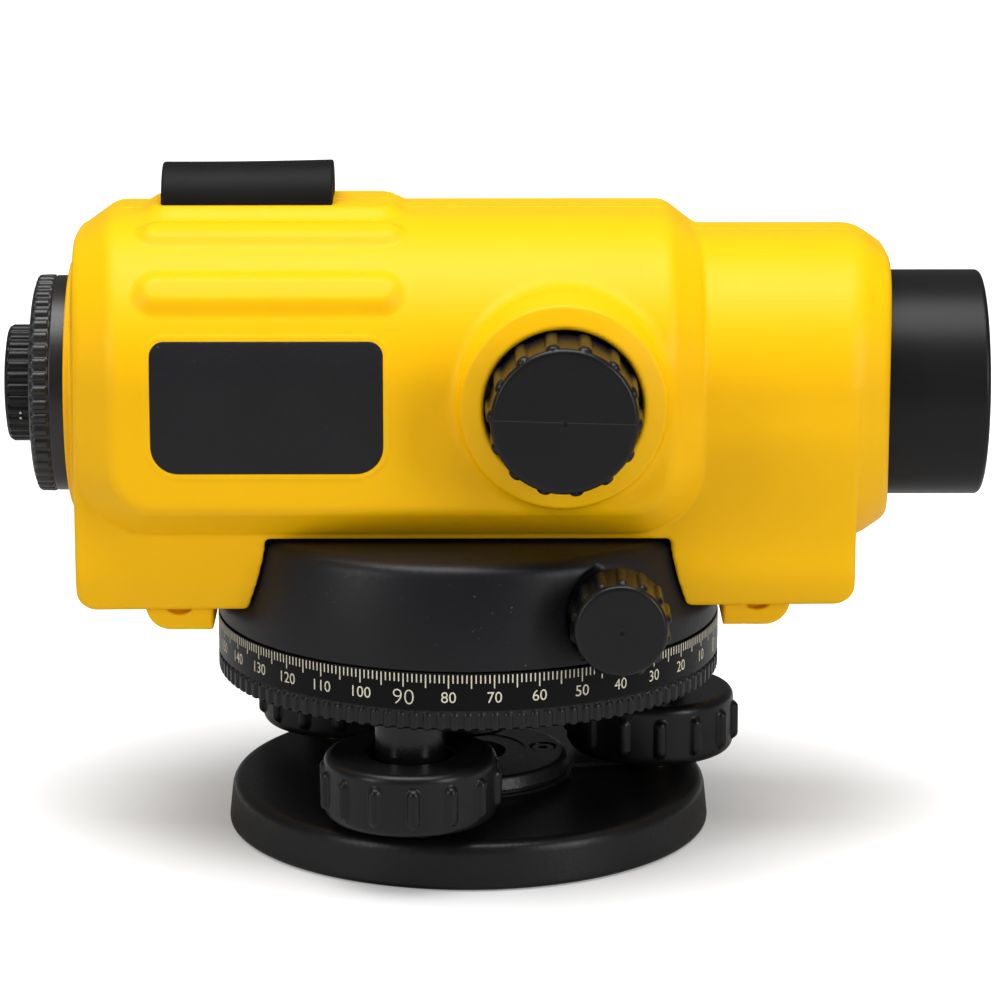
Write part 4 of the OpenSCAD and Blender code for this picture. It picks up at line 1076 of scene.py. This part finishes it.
for name, mat in FINISH.items():
    ob = NODES[name]
    ob.data.materials.clear()
    ob.data.materials.append(mat)

# ---------------------------------------------------------------- floor, light, camera

bpy.ops.mesh.primitive_plane_add(size=6.0, location=(0, 0, -0.0002))
floor = bpy.context.object
floor.name = "floor"
PALE = moulded("pale_floor", (0.6, 0.6, 0.6), 0.8, grain=200, grain_depth=0.01, mottle=0.005, specular=0.1)
floor.data.materials.append(PALE)
ft = PALE.node_tree
seen = ft.nodes.new("ShaderNodeLightPath")
spot = ft.nodes.new("ShaderNodeTexCoord")
dist = ft.nodes.new("ShaderNodeVectorMath")
dist.operation = "LENGTH"
ft.links.new(spot.outputs["Object"], dist.inputs[0])
lift = ft.nodes.new("ShaderNodeMath")
lift.operation = "MULTIPLY"
ft.links.new(ramp(ft, dist.outputs["Value"], 0.05, 0.16, 0.25, 1.0), lift.inputs[0])
ft.links.new(seen.outputs["Is Camera Ray"], lift.inputs[1])
floor_bsdf = ft.nodes["Principled BSDF"]
floor_bsdf.inputs["Emission Color"].default_value = (1, 1, 1, 1)
ft.links.new(lift.outputs[0], floor_bsdf.inputs["Emission Strength"])

world = bpy.data.worlds.new("studio")
bpy.context.scene.world = world
world.use_nodes = True
wt = world.node_tree
bg = wt.nodes["Background"]
path = wt.nodes.new("ShaderNodeLightPath")
bg.inputs["Color"].default_value = (1.0, 1.0, 1.0, 1)
wt.links.new(ramp(wt, path.outputs["Is Camera Ray"], 0, 1, 0.15, 1.0), bg.inputs["Strength"])


def area(name, loc, target, size, power):
    """A rectangular lamp aimed at a point."""
    li = bpy.data.lights.new(name, "AREA")
    li.shape = "RECTANGLE"
    li.size, li.size_y = size
    li.energy = power
    ob = bpy.data.objects.new(name, li)
    ob.location = loc
    ob.rotation_euler = (Vector(target) - Vector(loc)).to_track_quat("-Z", "Y").to_euler()
    bpy.context.scene.collection.objects.link(ob)


area("overhead", (-0.02, -0.13, 0.95), (0, 0, 0.08), (0.9, 0.6), 11.0)
area("right_softbox", (0.85, -0.75, 0.4), (0.02, 0, 0.09), (0.25, 0.6), 5.2)
area("left_softbox", (-0.9, -0.7, 0.45), (0, 0, 0.08), (0.25, 0.6), 3.6)

cam_data = bpy.data.cameras.new("camera")
cam = bpy.data.objects.new("camera", cam_data)
bpy.context.scene.collection.objects.link(cam)
cam_data.sensor_width = 36.0
cam_data.lens = 149.41
cam_data.clip_start = 0.01
right = Vector((1, -0.0057, 0))
up = Vector((0.0014, 0.2378, 0.9713))
back = Vector((-0.0056, -0.9713, 0.2378))
cam.matrix_world = Matrix(((right.x, up.x, back.x, 0.00183), (right.y, up.y, back.y, -0.84367),
                           (right.z, up.z, back.z, 0.27527), (0, 0, 0, 1)))
bpy.context.scene.camera = cam
bpy.context.scene.view_settings.view_transform = "Standard"
bpy.context.scene.view_settings.look = "None"
